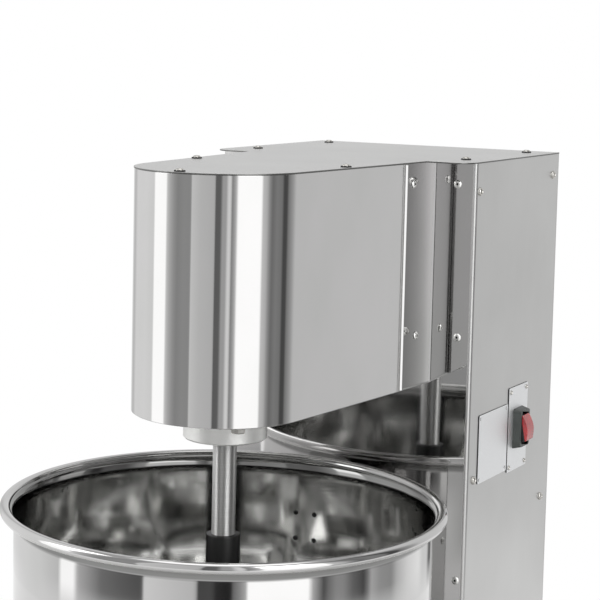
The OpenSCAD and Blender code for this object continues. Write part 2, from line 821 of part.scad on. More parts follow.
rotor_end = fan_z - 2;
module motor_rotor() color("lightgray") at_motor(0) {
    r = motor_bearing[0] / 2;
    high = pulley_z + pulley_h;
    rotate_extrude() polygon([[0, rotor_end], [r, rotor_end], [r, body_bot + 12],
        [rotor_r, body_bot + 12], [rotor_r, body_top - 12], [r, body_top - 12], [r, high], [0, high]]);
}

module motor_pulley() color("gray") at_motor(pulley_z) pulley(small_pulley_d, motor_bearing[0] / 2);

module motor_fan() color("#303030") at_motor(fan_z) difference() {
    union() {
        cylinder(r = 16, h = fan_h);
        translate([0, 0, fan_h - 2]) cylinder(r = motor_d / 2 - 14, h = 2);
        for (i = [0:7]) rotate(45 * i) translate([10, -1, 0]) cube([motor_d / 2 - 27, 2, fan_h - 1]);
    }
    translate([0, 0, -over]) cylinder(r = motor_bearing[0] / 2, h = fan_h + 2 * over);
}

// Finned motor housing around the stator
module motor_housing() color("steelblue") at_motor(body_bot) difference() {
    cylinder(d = motor_d, h = motor_len);
    translate([0, 0, -over]) cylinder(r = stator_r, h = motor_len + 2 * over);
    for (i = [0:17]) rotate(20 * i + 10) translate([motor_d / 2 - 4, -3, -over])
        cube([8, 6, motor_len + 2 * over]);
}

module stator_core() color("peru") at_motor(body_bot + 8)
    tube(stator_r, rotor_r + air_gap, motor_len - 16);

module motor_shields() color("steelblue") {
    for (z = [body_top, shield_bot]) at_motor(z) difference() {
        cylinder(d = motor_d, h = shield_t);
        translate([0, 0, -over]) cylinder(r = motor_bearing[0] / 2 + 2, h = shield_t + 2 * over);
        translate([0, 0, z == body_top ? -over : shield_t - motor_bearing[2]])
            cylinder(r = motor_bearing[1] / 2, h = motor_bearing[2] + over);
    }
}

module motor_bearings() color("lightsteelblue") {
    at_motor(body_top) ball_bearing(motor_bearing, run_clear);
    at_motor(body_bot - motor_bearing[2]) ball_bearing(motor_bearing, run_clear);
}

module fan_cover() color("#303030") at_motor(fan_cover_bot) difference() {
    cylinder(d = motor_d, h = shield_bot - fan_cover_bot);
    translate([0, 0, 2]) cylinder(d = motor_d - 3, h = shield_bot);
    for (i = [0:7]) rotate(45 * i) translate([18, -3, -over]) cube([motor_d / 2 - 32, 6, 4]);
}

motor_bolt_ring = motor_d / 2 - 12;
module motor_bolt_places(z) {
    for (i = [0:3]) at_motor(z) rotate(45 + 90 * i) translate([motor_bolt_ring, 0, 0]) children();
}

module motor_plate() color("dimgray") difference() {
    block([1 - post_x, rail_y + 1, plate_z], [post_x - 1, back_y - angle_leg - 1, plate_z + plate_t]);
    at_motor(plate_z - over) cylinder(r = motor_bearing[1] / 2, h = plate_t + 2 * over);
    motor_bolt_places(plate_z - over) cylinder(r = 4 + bolt_slack, h = plate_t + 2 * over);
}

module motor_bolts() color("silver") motor_bolt_places(plate_z + plate_t) hex_bolt(8, plate_t + 15);

module terminal_box() color("#404040") difference() {
    at_motor(body_bot + 40) translate([14 - motor_d / 2 - terminal_size[0], -terminal_size[1] / 2, 0])
        cube(terminal_size);
    at_motor(body_bot) cylinder(d = motor_d, h = motor_len);
}

module run_capacitor() color("whitesmoke")
    translate([post_x - 19 - capacitor_r, motor_y, plate_z + plate_t])
        cylinder(r = capacitor_r, h = capacitor_h);

// ---------- switch and plates ----------

module on_side(y, z) {
    translate([col_x, y, z]) rotate([90, 0, 90]) children();
}

module switch_plate() color("silver") on_side(switch_y, switch_z) difference() {
    translate([-switch_plate_w / 2, -switch_plate_h / 2, 0])
        cube([switch_plate_w, switch_plate_h, tag_t]);
    translate([2 - bezel_w / 2, 2 - bezel_h / 2, -over])
        cube([bezel_w - 4, bezel_h - 4, tag_t + 2 * over]);
}

// Bezel with a pocket for the rocker, and the switch's works behind the panel
module switch_body() color("#181818") on_side(switch_y, switch_z) difference() {
    union() {
        translate([-bezel_w / 2, -bezel_h / 2, tag_t]) cube([bezel_w, bezel_h, bezel_t]);
        translate([seat_gap + 2 - bezel_w / 2, seat_gap + 2 - bezel_h / 2, -26])
            cube([bezel_w - 4 - 2 * seat_gap, bezel_h - 4 - 2 * seat_gap, 27 + tag_t]);
    }
    translate([-rocker_w / 2 - 0.4, -rocker_r - 0.6, -4])
        cube([rocker_w + 0.8, 2 * rocker_r + 1.2, bezel_t + 10]);
    translate([-rocker_w / 2 - 2, 0, rocker_x - col_x]) rotate([0, 90, 0])
        cylinder(r = 1.5 + run_clear, h = rocker_w + 4);
}

// Rocker in plan from its pivot: round ends, cut flat between x_in and x_out
module rocker_slice(x_in, x_out) {
    translate([rocker_x, switch_y, switch_z]) rotate([0, -rocker_swing / 2, 0]) rotate([90, 0, 0])
        translate([0, 0, -rocker_w / 2]) linear_extrude(rocker_w) intersection() {
            circle(r = rocker_r);
            translate([x_in, -rocker_r]) square([x_out - x_in, 2 * rocker_r]);
        }
}

module switch_rocker() color("#141414") {
    rocker_slice(-3, rocker_face - 3);
    translate([rocker_x, switch_y + rocker_w / 2 + 1.5, switch_z]) rotate([90, 0, 0])
        cylinder(r = 1.5, h = rocker_w + 3);
}

module rocker_cap() color("#d01010") rocker_slice(rocker_face - 3, rocker_face);

module rating_plate() color("gainsboro") on_side(rating_y, rating_z) {
    translate([-rating_w / 2, -rating_h / 2, 0]) cube([rating_w, rating_h, tag_t]);
    for (s = [-1, 1], t = [-1, 1]) translate([s * (rating_w / 2 - 4), t * (rating_h / 2 - 4), tag_t])
        cylinder(r1 = 1.8, r2 = 1.2, h = 0.8);
}

module cable_gland() color("#1c1c1c")
    translate([-col_x, gland_y, gland_z]) rotate([0, -90, 0]) difference() {
        union() {
            cylinder(r = gland_r + 3, h = 8, $fn = 6);
            translate([0, 0, 8]) cylinder(r1 = gland_r + 1, r2 = gland_r - 1, h = 12);
            translate([0, 0, -sheet - 10]) cylinder(r = gland_r, h = sheet + 10);
            translate([0, 0, -sheet - 5]) cylinder(r = gland_r + 4, h = 5, $fn = 6);
        }
        translate([0, 0, -30]) cylinder(r = cord_r, h = 60);
    }

// ---------- fasteners ----------

module casing_screws() color("silver") {
    translate([0, 0, head_top + sheet]) cover_holes() pan_screw();
    both_sides() for (p = side_screws) translate([col_x, front_y + p[0], p[1]])
        rotate([0, 90, 0]) pan_screw();
    for (p = back_screws) translate([p[0], back_y + sheet, p[1]]) rotate([-90, 0, 0]) pan_screw();
    on_side(switch_y, switch_z) for (s = [-1, 1], t = [-1, 1])
        translate([s * (switch_plate_w / 2 - 5), t * (switch_plate_h / 2 - 5), tag_t]) {
            cylinder(r1 = 2.6, r2 = 1.8, h = 1.4);
            translate([0, 0, -6]) cylinder(r = 1.2, h = 6);
        }
}

module casing_rivets() color("silver") {
    for (p = front_rivets) translate([p[0], front_y, p[1]]) rotate([90, 0, 0])
        blind_rivet(sheet + angle_t + 2);
    both_sides() for (p = cheek_rivets) translate([head_x(-cheek_in, p[0]), p[0], p[1]])
        rotate([0, 90, -head_slope()]) blind_rivet(sheet + bracket_t + 2);
}

// ---------- drawing ----------

rubber_feet();
foot_bolts();
base_plate();
base_cabinet();
drum_pad();
drum_shell();
drum_floor();
drum_bracket();
drum_screws();
frame_posts();
frame_rails();
column_front_panel();
column_left_panel();
column_right_panel();
column_back_panel();
top_cover();
cover_tabs();
head_shell();
head_cheeks();
head_floor_plate();
head_beams();
corner_brackets();
gearbox_housing();
gearbox_cover();
gearbox_bolts();
bearing_boss();
boss_bolts();
main_bearings();
layshaft_bearings();
shaft_seals();
mixing_shaft();
main_gear();
gear_key();
agitator_sleeve();
agitator_vanes();
layshaft();
pinion();
layshaft_pulley();
drive_belt();
motor_pulley();
motor_rotor();
motor_fan();
motor_housing();
stator_core();
motor_shields();
motor_bearings();
fan_cover();
motor_plate();
motor_bolts();
terminal_box();
run_capacitor();
switch_plate();
switch_body();
switch_rocker();
rocker_cap();
rating_plate();
cable_gland();
casing_screws();
casing_rivets();
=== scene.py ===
"""Upright dough mixer: pieces, finishes, studio and camera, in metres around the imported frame."""
import json
import math

import bmesh
import bpy
from mathutils import Matrix, Vector

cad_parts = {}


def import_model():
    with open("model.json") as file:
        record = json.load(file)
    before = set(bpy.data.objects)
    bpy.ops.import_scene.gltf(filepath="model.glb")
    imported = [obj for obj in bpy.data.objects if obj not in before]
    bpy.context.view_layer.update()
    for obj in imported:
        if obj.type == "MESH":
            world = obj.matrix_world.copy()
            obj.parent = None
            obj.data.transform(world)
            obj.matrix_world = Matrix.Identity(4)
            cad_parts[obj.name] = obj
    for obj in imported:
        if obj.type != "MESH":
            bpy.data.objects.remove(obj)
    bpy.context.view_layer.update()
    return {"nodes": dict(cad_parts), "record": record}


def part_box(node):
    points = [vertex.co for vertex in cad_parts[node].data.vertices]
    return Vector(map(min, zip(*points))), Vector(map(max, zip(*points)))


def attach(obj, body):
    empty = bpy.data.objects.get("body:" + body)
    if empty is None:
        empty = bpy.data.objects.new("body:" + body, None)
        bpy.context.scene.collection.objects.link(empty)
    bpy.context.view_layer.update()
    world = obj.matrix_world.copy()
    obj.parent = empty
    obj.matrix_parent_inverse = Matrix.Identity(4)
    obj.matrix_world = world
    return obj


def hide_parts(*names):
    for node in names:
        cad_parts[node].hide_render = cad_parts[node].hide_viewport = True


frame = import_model()
MM = 0.001

# ---------------------------------------------------------------- places from the frame

shaft_lo, shaft_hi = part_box("mixing_shaft")
drum_lo, drum_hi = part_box("drum_shell")
floor_lo, floor_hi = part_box("drum_floor")
head_lo, head_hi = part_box("head_shell")
cheek_lo, cheek_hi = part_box("head_cheeks")
cover_lo, cover_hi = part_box("top_cover")
front_lo, front_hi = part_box("column_front_panel")
right_lo, right_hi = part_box("column_right_panel")
boss_lo, boss_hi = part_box("bearing_boss")
sleeve_lo, sleeve_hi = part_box("agitator_sleeve")
vanes_lo, vanes_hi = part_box("agitator_vanes")
base_lo, base_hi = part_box("base_cabinet")

SHAFT_Y = (drum_lo.y + drum_hi.y) / 2
SHAFT_R = 11.5 * MM
BEAD_R = 5 * MM
RIM_Z = drum_hi.z - BEAD_R
RIM_R = (drum_hi.x - drum_lo.x) / 2
NECK = 14 * MM
DRUM_R = (floor_hi.x - floor_lo.x) / 2
SHEET = 1.5 * MM
PLATE = 1.0 * MM
SIDE_X = right_hi.x
FRONT_Y = front_lo.y
HEAD_R = 84 * MM
HEAD_Y = head_lo.y + HEAD_R
HEAD_REAR = 106 * MM
SLOPE = math.atan2(HEAD_REAR - HEAD_R, FRONT_Y - HEAD_Y)
QUARTER = math.pi / 2

# ---------------------------------------------------------------- node and colour helpers


def srgb(text):
    """An sRGB hex colour as linear RGBA."""
    channels = [int(text[i:i + 2], 16) / 255 for i in (1, 3, 5)]
    return tuple(c / 12.92 if c <= 0.04045 else ((c + 0.055) / 1.055) ** 2.4 for c in channels) + (1.0,)


def live(sockets, key=None):
    """The socket with that number, or the first one in use, of that name if one is given."""
    if isinstance(key, int):
        return sockets[key]
    return next(s for s in sockets if s.enabled and key in (None, s.name))


def feed(tree, node, sockets):
    """Gives each input a value, or links it to another node or one of its outputs."""
    for key, value in sockets.items():
        if isinstance(value, bpy.types.Node):
            value = live(value.outputs)
        if isinstance(value, bpy.types.NodeSocket):
            tree.links.new(value, live(node.inputs, key))
        else:
            live(node.inputs, key).default_value = value


def add(tree, kind, sockets=None, stops=None, **settings):
    """Adds a node with its settings and links. Stops give a colour ramp its greys or colours by place."""
    node = tree.nodes.new("ShaderNode" + kind)
    for key, value in settings.items():
        setattr(node, key, value)
    feed(tree, node, sockets or {})
    for i, (place, tone) in enumerate((stops or {}).items()):
        elements = node.color_ramp.elements
        element = elements[i] if i < 2 else elements.new(place)
        element.position = place
        element.color = srgb(tone) if isinstance(tone, str) else (tone, tone, tone, 1.0)
    return node


def new_material(name):
    """A new material: its tree, its Principled shader, and object coordinates in millimetres."""
    material = bpy.data.materials.new(name)
    material.use_nodes = True
    tree = material.node_tree
    place = add(tree, "TexCoord").outputs["Object"]
    mm = add(tree, "VectorMath", {0: place, "Scale": 1 / MM}, operation="SCALE")
    return material, tree, tree.nodes["Principled BSDF"], mm


def cloudy(tree, mm, sizes, detail):
    """A cloudy pattern whose features measure sizes, in millimetres, along X, Y and Z."""
    squeezed = add(tree, "VectorMath", {0: mm, 1: [1 / s for s in sizes]}, operation="MULTIPLY")
    return add(tree, "TexNoise", {"Vector": squeezed, "Scale": 1.0, "Detail": detail})


# ---------------------------------------------------------------- finishes

# Grinding strokes, spinning lines, grit and moulded grain are finer than a render can show, so they
# are drawn three to ten times as coarse as they are.


def mirror_stainless():
    """Mirror-polished stainless sheet: sharp reflections, slow waves of the sheet, and wiped smears."""
    material, tree, shader, mm = new_material("mirror_polished_stainless")
    smear = cloudy(tree, mm, (70, 70, 110), 4.0)
    wave = cloudy(tree, mm, (150, 150, 220), 0.0)
    feed(tree, shader, {
        "Base Color": add(tree, "ValToRGB", {"Fac": smear}, {0.3: "#c9c9c8", 0.7: "#cecdcd"}),
        "Roughness": add(tree, "ValToRGB", {"Fac": smear}, {0.35: 0.03, 0.7: 0.07}),
        "Normal": add(tree, "Bump", {"Height": wave, "Distance": 0.2 * MM}),
        "Metallic": 1.0,
    })
    return material


def drum_stainless():
    """Spun stainless drum: mirror-polished outside, buffed and wavier inside, and coloured darker on its
    neck as a painted reflection of the dark interior.
    """
    material, tree, shader, mm = new_material("polished_drum_stainless")
    smear = cloudy(tree, mm, (60, 60, 60), 3.0)
    lines = cloudy(tree, mm, (90, 90, 1.4), 2.0)
    dents = cloudy(tree, mm, (115, 115, 140), 0.0)

    # Inside and outside part about halfway through the sheet
    halfway = 0.7
    from_axis = add(tree, "VectorMath", {0: mm, 1: (0, -SHAFT_Y / MM, 0)}, operation="ADD")
    flat = add(tree, "VectorMath", {0: from_axis, 1: (1, 1, 0)}, operation="MULTIPLY")
    radius = add(tree, "VectorMath", {0: flat}, operation="LENGTH")
    inside = add(tree, "Math", {0: radius, 1: DRUM_R / MM + halfway}, operation="LESS_THAN")
    rough = add(tree, "Mix", {
        "Factor": inside,
        "A": add(tree, "ValToRGB", {"Fac": smear}, {0.35: 0.03, 0.7: 0.06}),
        "B": add(tree, "ValToRGB", {"Fac": lines}, {0.3: 0.05, 0.75: 0.09}),
    }, data_type="FLOAT")
    walls = add(tree, "Mix", {
        "Factor": inside,
        "A": add(tree, "ValToRGB", {"Fac": smear}, {0.3: "#c9c9c8", 0.7: "#cecdcd"}),
        "B": add(tree, "ValToRGB", {"Fac": smear}, {0.3: "#d9d9d8", 0.7: "#dfdfde"}),
    }, data_type="RGBA")

    # Painted reflection: the flared neck, from the wall to the bead, is coloured darker to stand in for
    # the dark interior it reflects
    height = add(tree, "SeparateXYZ", {0: mm}).outputs["Z"]
    foot, bead = (RIM_Z - NECK) / MM, (RIM_R - 2 * BEAD_R) / MM
    above = add(tree, "MapRange", {"Value": height, "From Min": foot - 1, "From Max": foot + 2})
    within = add(tree, "MapRange", {"Value": radius, "From Min": bead + 1.5, "From Max": bead - 0.5})
    skin = add(tree, "Mix", {
        "Factor": add(tree, "Math", {0: above, 1: within}, operation="MULTIPLY"),
        "A": walls,
        "B": add(tree, "ValToRGB", {"Fac": smear}, {0.3: "#828281", 0.7: "#8a8a89"}),
    }, data_type="RGBA")

    spinning = add(tree, "Bump", {"Height": lines, "Distance": 0.0008 * MM})
    feed(tree, shader, {
        "Base Color": skin,
        "Roughness": rough,
        "Normal": add(tree, "Bump", {"Height": dents, "Distance": 0.25 * MM, "Strength": inside,
                                     "Normal": spinning}),
        "Metallic": 1.0,
    })
    return material


def buffed_stainless():
    """Buffed stainless plate: bright, with soft reflections and faint waves."""
    material, tree, shader, mm = new_material("buffed_stainless_plate")
    cloud = cloudy(tree, mm, (50, 50, 50), 3.0)
    wave = cloudy(tree, mm, (45, 45, 60), 0.0)
    feed(tree, shader, {
        "Base Color": add(tree, "ValToRGB", {"Fac": cloud}, {0.3: "#dcdcdb", 0.7: "#e3e3e2"}),
        "Roughness": add(tree, "ValToRGB", {"Fac": cloud}, {0.3: 0.04, 0.7: 0.1}),
        "Normal": add(tree, "Bump", {"Height": wave, "Distance": 0.4 * MM}),
        "Metallic": 1.0,
    })
    return material


def painted_edge_shade(tree, axis, least, face, edge):
    """The face colour where the surface faces along an axis, and a darker edge colour, as painted shade,
    where it turns away.
    """
    normal = add(tree, "NewGeometry").outputs["True Normal"]
    facing = add(tree, "SeparateXYZ", {0: normal}).outputs[axis]
    away = add(tree, "Math", {0: facing, 1: least}, operation="LESS_THAN")
    return add(tree, "Mix", {"Factor": away, "A": face, "B": edge}, data_type="RGBA")


def satin_stainless(name, stroke, shade_edges=False):
    """Satin-ground stainless: soft reflections streaked along the strokes. Its edges that turn away from
    up may get painted shade.
    """
    material, tree, shader, mm = new_material(name)
    strokes = cloudy(tree, mm, stroke, 3.0)
    cloud = cloudy(tree, mm, (120, 120, 120), 3.0)
    tone = add(tree, "ValToRGB", {"Fac": cloud}, {0.3: "#c3c3c2", 0.7: "#cacac9"})
    if shade_edges:
        # Painted shade: faces that turn away from up, such as the cover's edges, are coloured dark
        edge_shade_tone = add(tree, "ValToRGB", {"Fac": cloud}, {0.3: "#6b6b6a", 0.7: "#787877"})
        tone = painted_edge_shade(tree, "Z", 0.6, tone, edge_shade_tone)
    feed(tree, shader, {
        "Base Color": tone,
        "Roughness": add(tree, "ValToRGB", {"Fac": strokes}, {0.3: 0.29, 0.7: 0.34}),
        "Normal": add(tree, "Bump", {"Height": strokes, "Distance": 0.002 * MM}),
        "Metallic": 1.0,
    })
    return material


def ground_bar():
    """Centreless-ground stainless bar: its fine rings stretch each reflection along the bar."""
    material, tree, shader, mm = new_material("ground_stainless_bar")
    rings = cloudy(tree, mm, (60, 60, 0.9), 1.0)
    feed(tree, shader, {
        "Base Color": add(tree, "ValToRGB", {"Fac": rings}, {0.3: "#ebebea", 0.7: "#f2f2f1"}),
        "Roughness": add(tree, "ValToRGB", {"Fac": rings}, {0.3: 0.42, 0.7: 0.48}),
        "Normal": add(tree, "Bump", {"Height": rings, "Distance": 0.003 * MM}),
        "Tangent": add(tree, "Tangent", direction_type="RADIAL", axis="Z"),
        "Anisotropic": 1.0,
        "Anisotropic Rotation": 0.25,
        "Metallic": 1.0,
    })
    return material


def cast_aluminium(name, grain, depth, light, dark):
    """Aluminium casting: matt, faintly stained, with sand marks of that size and depth in millimetres."""
    material, tree, shader, mm = new_material(name)
    sand = cloudy(tree, mm, (grain,) * 3, 4.0)
    stain = cloudy(tree, mm, (18, 18, 18), 4.0)
    feed(tree, shader, {
        "Base Color": add(tree, "ValToRGB", {"Fac": stain}, {0.3: dark, 0.7: light}),
        "Roughness": add(tree, "ValToRGB", {"Fac": sand}, {0.3: 0.4, 0.7: 0.6}),
        "Normal": add(tree, "Bump", {"Height": sand, "Distance": depth * MM}),
        "Metallic": 1.0,
    })
    return material


def bare_metal(name, light, dark, rough, patch):
    """Machined, plated or blackened metal: patches of that size in millimetres, and a finer tooth."""
    material, tree, shader, mm = new_material(name)
    patches = cloudy(tree, mm, (patch,) * 3, 4.0)
    tooth = cloudy(tree, mm, (patch / 8,) * 3, 2.0)
    feed(tree, shader, {
        "Base Color": add(tree, "ValToRGB", {"Fac": patches}, {0.3: dark, 0.7: light}),
        "Roughness": add(tree, "ValToRGB", {"Fac": tooth}, {0.3: rough * 0.8, 0.7: rough * 1.25}),
        "Normal": add(tree, "Bump", {"Height": tooth, "Distance": 0.01 * MM}),
        "Metallic": 1.0,
    })
    return material


def coating(name, light, dark, rough, grain, depth, coat=0.0):
    """Plastic, rubber or paint: a grain of that size and depth in millimetres, and shifts of tone."""
    material, tree, shader, mm = new_material(name)
    tone = cloudy(tree, mm, (14, 14, 14), 3.0)
    skin = cloudy(tree, mm, (grain,) * 3, 2.0)
    feed(tree, shader, {
        "Base Color": add(tree, "ValToRGB", {"Fac": tone}, {0.3: dark, 0.7: light}),
        "Roughness": add(tree, "ValToRGB", {"Fac": skin}, {0.3: rough * 0.85, 0.7: rough * 1.15}),
        "Normal": add(tree, "Bump", {"Height": skin, "Distance": depth * MM}),
        "Coat Weight": coat,
        "Coat Roughness": 0.12,
    })
    return material


def anodised_plate():
    """Bead-blasted, anodised aluminium: pale and matt with a fine sparkle, and dark on its edges as
    painted shade.
    """
    material, tree, shader, mm = new_material("bead_blasted_aluminium")
    grit = cloudy(tree, mm, (0.6, 0.6, 0.6), 1.0)
    face = add(tree, "ValToRGB", {"Fac": grit}, {0.3: "#ecedee", 0.7: "#f5f6f7"})
    # Painted shade: the plate's edges, which turn away from its outward face, are coloured dark
    edge = add(tree, "ValToRGB", {"Fac": grit}, {0.3: "#3c3c3d", 0.7: "#4a4a4b"})
    feed(tree, shader, {
        "Base Color": painted_edge_shade(tree, "X", 0.8, face, edge),
        "Roughness": add(tree, "ValToRGB", {"Fac": grit}, {0.3: 0.42, 0.7: 0.56}),
        "Normal": add(tree, "Bump", {"Height": grit, "Distance": 0.008 * MM}),
        "Metallic": 1.0,
    })
    return material


finish = {
    "mirror": mirror_stainless(),
    "drum": drum_stainless(),
    "buffed": buffed_stainless(),
    "satin_upright": satin_stainless("satin_stainless_upright_grain", (0.8, 0.8, 90)),
    "satin_across": satin_stainless("satin_stainless_cross_grain", (90, 0.8, 0.8)),
    "satin_cover": satin_stainless("satin_stainless_cover", (90, 0.8, 0.8), shade_edges=True),
    "bar": ground_bar(),
    # Turned faces of a casting are nearly white, and its raw faces are grey
    "boss": cast_aluminium("turned_aluminium_casting", 1.6, 0.12, "#fcfcfa", "#f4f4f2"),
    "casting": cast_aluminium("sand_cast_aluminium", 1.6, 0.08, "#b4b4b0", "#94948f"),
    # Nickel is bright and a little warm, a rivet is soft and pale, and zinc is greyer and more uneven
    "nickel": bare_metal("bright_nickel_plate", "#cfcdc9", "#bbb9b4", 0.16, 6),
    "rivet": bare_metal("satin_aluminium_rivet", "#f4f4f2", "#e6e6e3", 0.3, 6),
    "zinc": bare_metal("zinc_plated_steel", "#c6c6c0", "#a5a59e", 0.28, 6),
    # Ground bearing steel shines, cut teeth are grey and oily, and blackened steel is almost dull
    "bearing": bare_metal("ground_bearing_steel", "#c8cacc", "#b4b6b8", 0.18, 9),
    "gear": bare_metal("hobbed_carbon_steel", "#8c8c8a", "#6d6d6a", 0.34, 8),
    "black_steel": bare_metal("blackened_steel", "#3a3a3a", "#232323", 0.38, 5),
    # Primer is flat and chalky, and enamel has a clear gloss over a slight orange peel
    "primer": coating("grey_primed_steel", "#6f7173", "#5f6163", 0.6, 0.8, 0.02),
    "motor": coating("motor_enamel", "#41566b", "#37495c", 0.35, 0.9, 0.03, 0.3),
    "can": coating("pale_capacitor_can", "#d9d8d0", "#c8c7be", 0.3, 0.8, 0.01, 0.2),
    # Rubber is dull and dark, with cords that roughen a belt
    "rubber": coating("moulded_black_rubber", "#1f1f1f", "#151515", 0.75, 0.7, 0.04),
    "belt": coating("belt_rubber_and_cord", "#262523", "#1a1918", 0.7, 1.1, 0.06),
    # Moulded plastics have a soft sheen over a spark-eroded grain, and the cap is glossier
    "black": coating("moulded_black_abs", "#1c1c1d", "#121213", 0.38, 0.5, 0.012),
    "bezel": coating("moulded_dark_grey_abs", "#474b49", "#3a3e3c", 0.34, 0.5, 0.012),
    "sleeve": coating("black_nylon_sleeve", "#171717", "#0d0d0d", 0.36, 0.6, 0.01),
    "red": coating("red_polycarbonate_cap", "#bf3236", "#9d272b", 0.2, 0.6, 0.004, 0.6),
    "plate": anodised_plate(),
}

CARRIED_OVER = {
    "zinc": ["foot_bolts", "gearbox_bolts", "motor_bolts", "corner_brackets"],
    "satin_across": ["base_plate", "cover_tabs"],
    "buffed": ["head_floor_plate"],
    "satin_upright": ["column_back_panel", "drum_bracket"],
    "primer": ["frame_posts", "frame_rails", "head_beams", "motor_plate"],
    "casting": ["gearbox_housing", "gearbox_cover", "layshaft_pulley", "motor_pulley"],
    "bearing": ["main_bearings", "layshaft_bearings", "motor_bearings"],
    "gear": ["main_gear", "gear_key", "pinion"],
    "bar": ["layshaft", "motor_rotor"],
    "rubber": ["drum_pad", "shaft_seals"],
    "belt": ["drive_belt"],
    "motor": ["motor_housing", "motor_shields"],
    "black_steel": ["stator_core"],
    "black": ["motor_fan", "fan_cover", "terminal_box"],
    "can": ["run_capacitor"],
}
for key, names in CARRIED_OVER.items():
    for name in names:
        mesh = frame["nodes"][name].data
        mesh.materials.clear()
        mesh.materials.append(finish[key])

# ---------------------------------------------------------------- mesh helpers

body_of = {n: body for body, names in frame["record"]["behaviour"]["bodies"].items() for n in names}


def arc(cx, cy, r, start, end, steps):
    """Points on an arc, from start to end in degrees."""
    angles = [math.radians(start + (end - start) * i / steps) for i in range(steps + 1)]
    return [(cx + r * math.cos(a), cy + r * math.sin(a)) for a in angles]


def piece(bm, name, key, node, bevel_mm=0.0, segments=2, sharp=35):
    """Turns a bmesh into a finished object that stands for a node and rides on its body."""
    bmesh.ops.remove_doubles(bm, verts=bm.verts, dist=1e-6)
    bmesh.ops.recalc_face_normals(bm, faces=bm.faces)
    mesh = bpy.data.meshes.new(name)
    bm.to_mesh(mesh)
    bm.free()
    mesh.shade_smooth()
    mesh.set_sharp_from_angle(angle=math.radians(sharp))
    mesh.materials.append(finish[key])
    thing = bpy.data.objects.new(name, mesh)
    bpy.context.scene.collection.objects.link(thing)
    if bevel_mm:
        rounded = thing.modifiers.new("rounded_edges", "BEVEL")
        rounded.width = bevel_mm * MM
        rounded.segments = segments
        rounded.limit_method = "ANGLE"
        rounded.angle_limit = math.radians(sharp)
        rounded.harden_normals = True
    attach(thing, body_of[node])
    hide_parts(node)


def spun(profile, centre=None, steps=128, bm=None, closed=True):
    """Spins a profile of (radius, height) points about an upright axis: the shaft's, if none is given."""
    bm = bm or bmesh.new()
    x, y = centre or (0, SHAFT_Y)
    verts = [bm.verts.new((x + r, y, z)) for r, z in profile]
    edges = [bm.edges.new(pair) for pair in zip(verts, verts[1:])]
    if closed:
        edges.append(bm.edges.new((verts[-1], verts[0])))
    bmesh.ops.spin(bm, geom=verts + edges, cent=(x, y, 0), axis=(0, 0, 1), angle=math.tau,
                   steps=steps, use_merge=True, use_duplicate=False)
    return bm


def in_mm(profile):
    """A profile that is written in millimetres, in metres."""
    return [(a * MM, b * MM) for a, b in profile]


def extruded(bm, corners, way):
    """A solid between a face with those corners and the same face moved along way."""
    face = bm.faces.new([bm.verts.new(corner) for corner in corners])
    raised = bmesh.ops.extrude_face_region(bm, geom=[face])
    far_side = [g for g in raised["geom"] if isinstance(g, bmesh.types.BMVert)]
    bmesh.ops.translate(bm, verts=far_side, vec=way)
    return bm


def slab(outline, low, high, bm=None):
    """Raises a flat outline of (x, y) points from low to high."""
    return extruded(bm or bmesh.new(), [(x, y, low) for x, y in outline], (0, 0, high - low))


def folded_sheet(path, low, high, thickness, rows=1):
    """A sheet that follows an open path of (x, y) points, thickened towards the path's right."""
    bm = bmesh.new()
    verts = [bm.verts.new((x, y, low)) for x, y in path]
    edges = [bm.edges.new(pair) for pair in zip(verts, verts[1:])]
    sheet_faces = []
    for _ in range(rows):
        raised = bmesh.ops.extrude_edge_only(bm, edges=edges)["geom"]
        grown = [g for g in raised if isinstance(g, bmesh.types.BMVert)]
        sheet_faces += [g for g in raised if isinstance(g, bmesh.types.BMFace)]
        edges = [g for g in raised
                 if isinstance(g, bmesh.types.BMEdge) and all(v in grown for v in g.verts)]
        bmesh.ops.translate(bm, verts=grown, vec=(0, 0, (high - low) / rows))
    bmesh.ops.solidify(bm, geom=sheet_faces, thickness=-thickness)
    return bm


def stamp(bm, shape, matrix):
    """Adds a small bmesh to a larger one, in the place that the matrix gives."""
    bmesh.ops.transform(shape, matrix=matrix, verts=shape.verts)
    mesh = bpy.data.meshes.new("stamp")
    shape.to_mesh(mesh)
    shape.free()
    bm.from_mesh(mesh)
    bpy.data.meshes.remove(mesh)


def turned(angle, axis):
    """A turn about an axis through the origin, in radians."""
    return Matrix.Rotation(angle, 4, axis)


def moved(x, y, z):
    """A move from the origin."""
    return Matrix.Translation((x, y, z))


def head_side(grow, y):
    """Half width of the head at y, grown by grow."""
    return (HEAD_R + grow) / math.cos(SLOPE) + (y - HEAD_Y) * math.tan(SLOPE)


def head_path(grow, y_end):
    """The head's outline from its left rear end round the front to its right rear end."""
    lean = math.degrees(SLOPE)
    front = arc(0, HEAD_Y, HEAD_R + grow, 180 + lean, 360 - lean, 96)
    return [(-head_side(grow, y_end), y_end)] + front + [(head_side(grow, y_end), y_end)]


# ---------------------------------------------------------------- drum


def drum():
    """Rolled wall with a flared neck and a wired bead, in one profile."""
    inner, outer = DRUM_R, DRUM_R + SHEET
    flare = 5 * MM
    bead = RIM_R - BEAD_R
    turns = [math.radians(9 * i) for i in range(11)]
    inside = [(inner + flare * (1 - math.cos(a)), RIM_Z + NECK * (math.sin(a) - 1)) for a in turns]
    outside = [(outer + flare * (1 - math.cos(a)), RIM_Z + NECK * (math.sin(a) - 1) - SHEET * math.sin(a))
               for a in turns]
    roll = arc(bead, RIM_Z, BEAD_R, 176, -168, 28)
    neck_outside = [p for p in outside if p[0] < bead - BEAD_R * 0.98][::-1]
    # A loop just under the neck keeps the shading of the straight wall straight
    under = RIM_Z - NECK - 3 * MM
    profile = [(inner, drum_lo.z), (inner, under)] + inside[:-1] + roll + neck_outside
    profile += [(outer, under), (outer, drum_lo.z)]
    piece(spun(profile, steps=192), "drum_wall", "drum", "drum_shell", sharp=60)


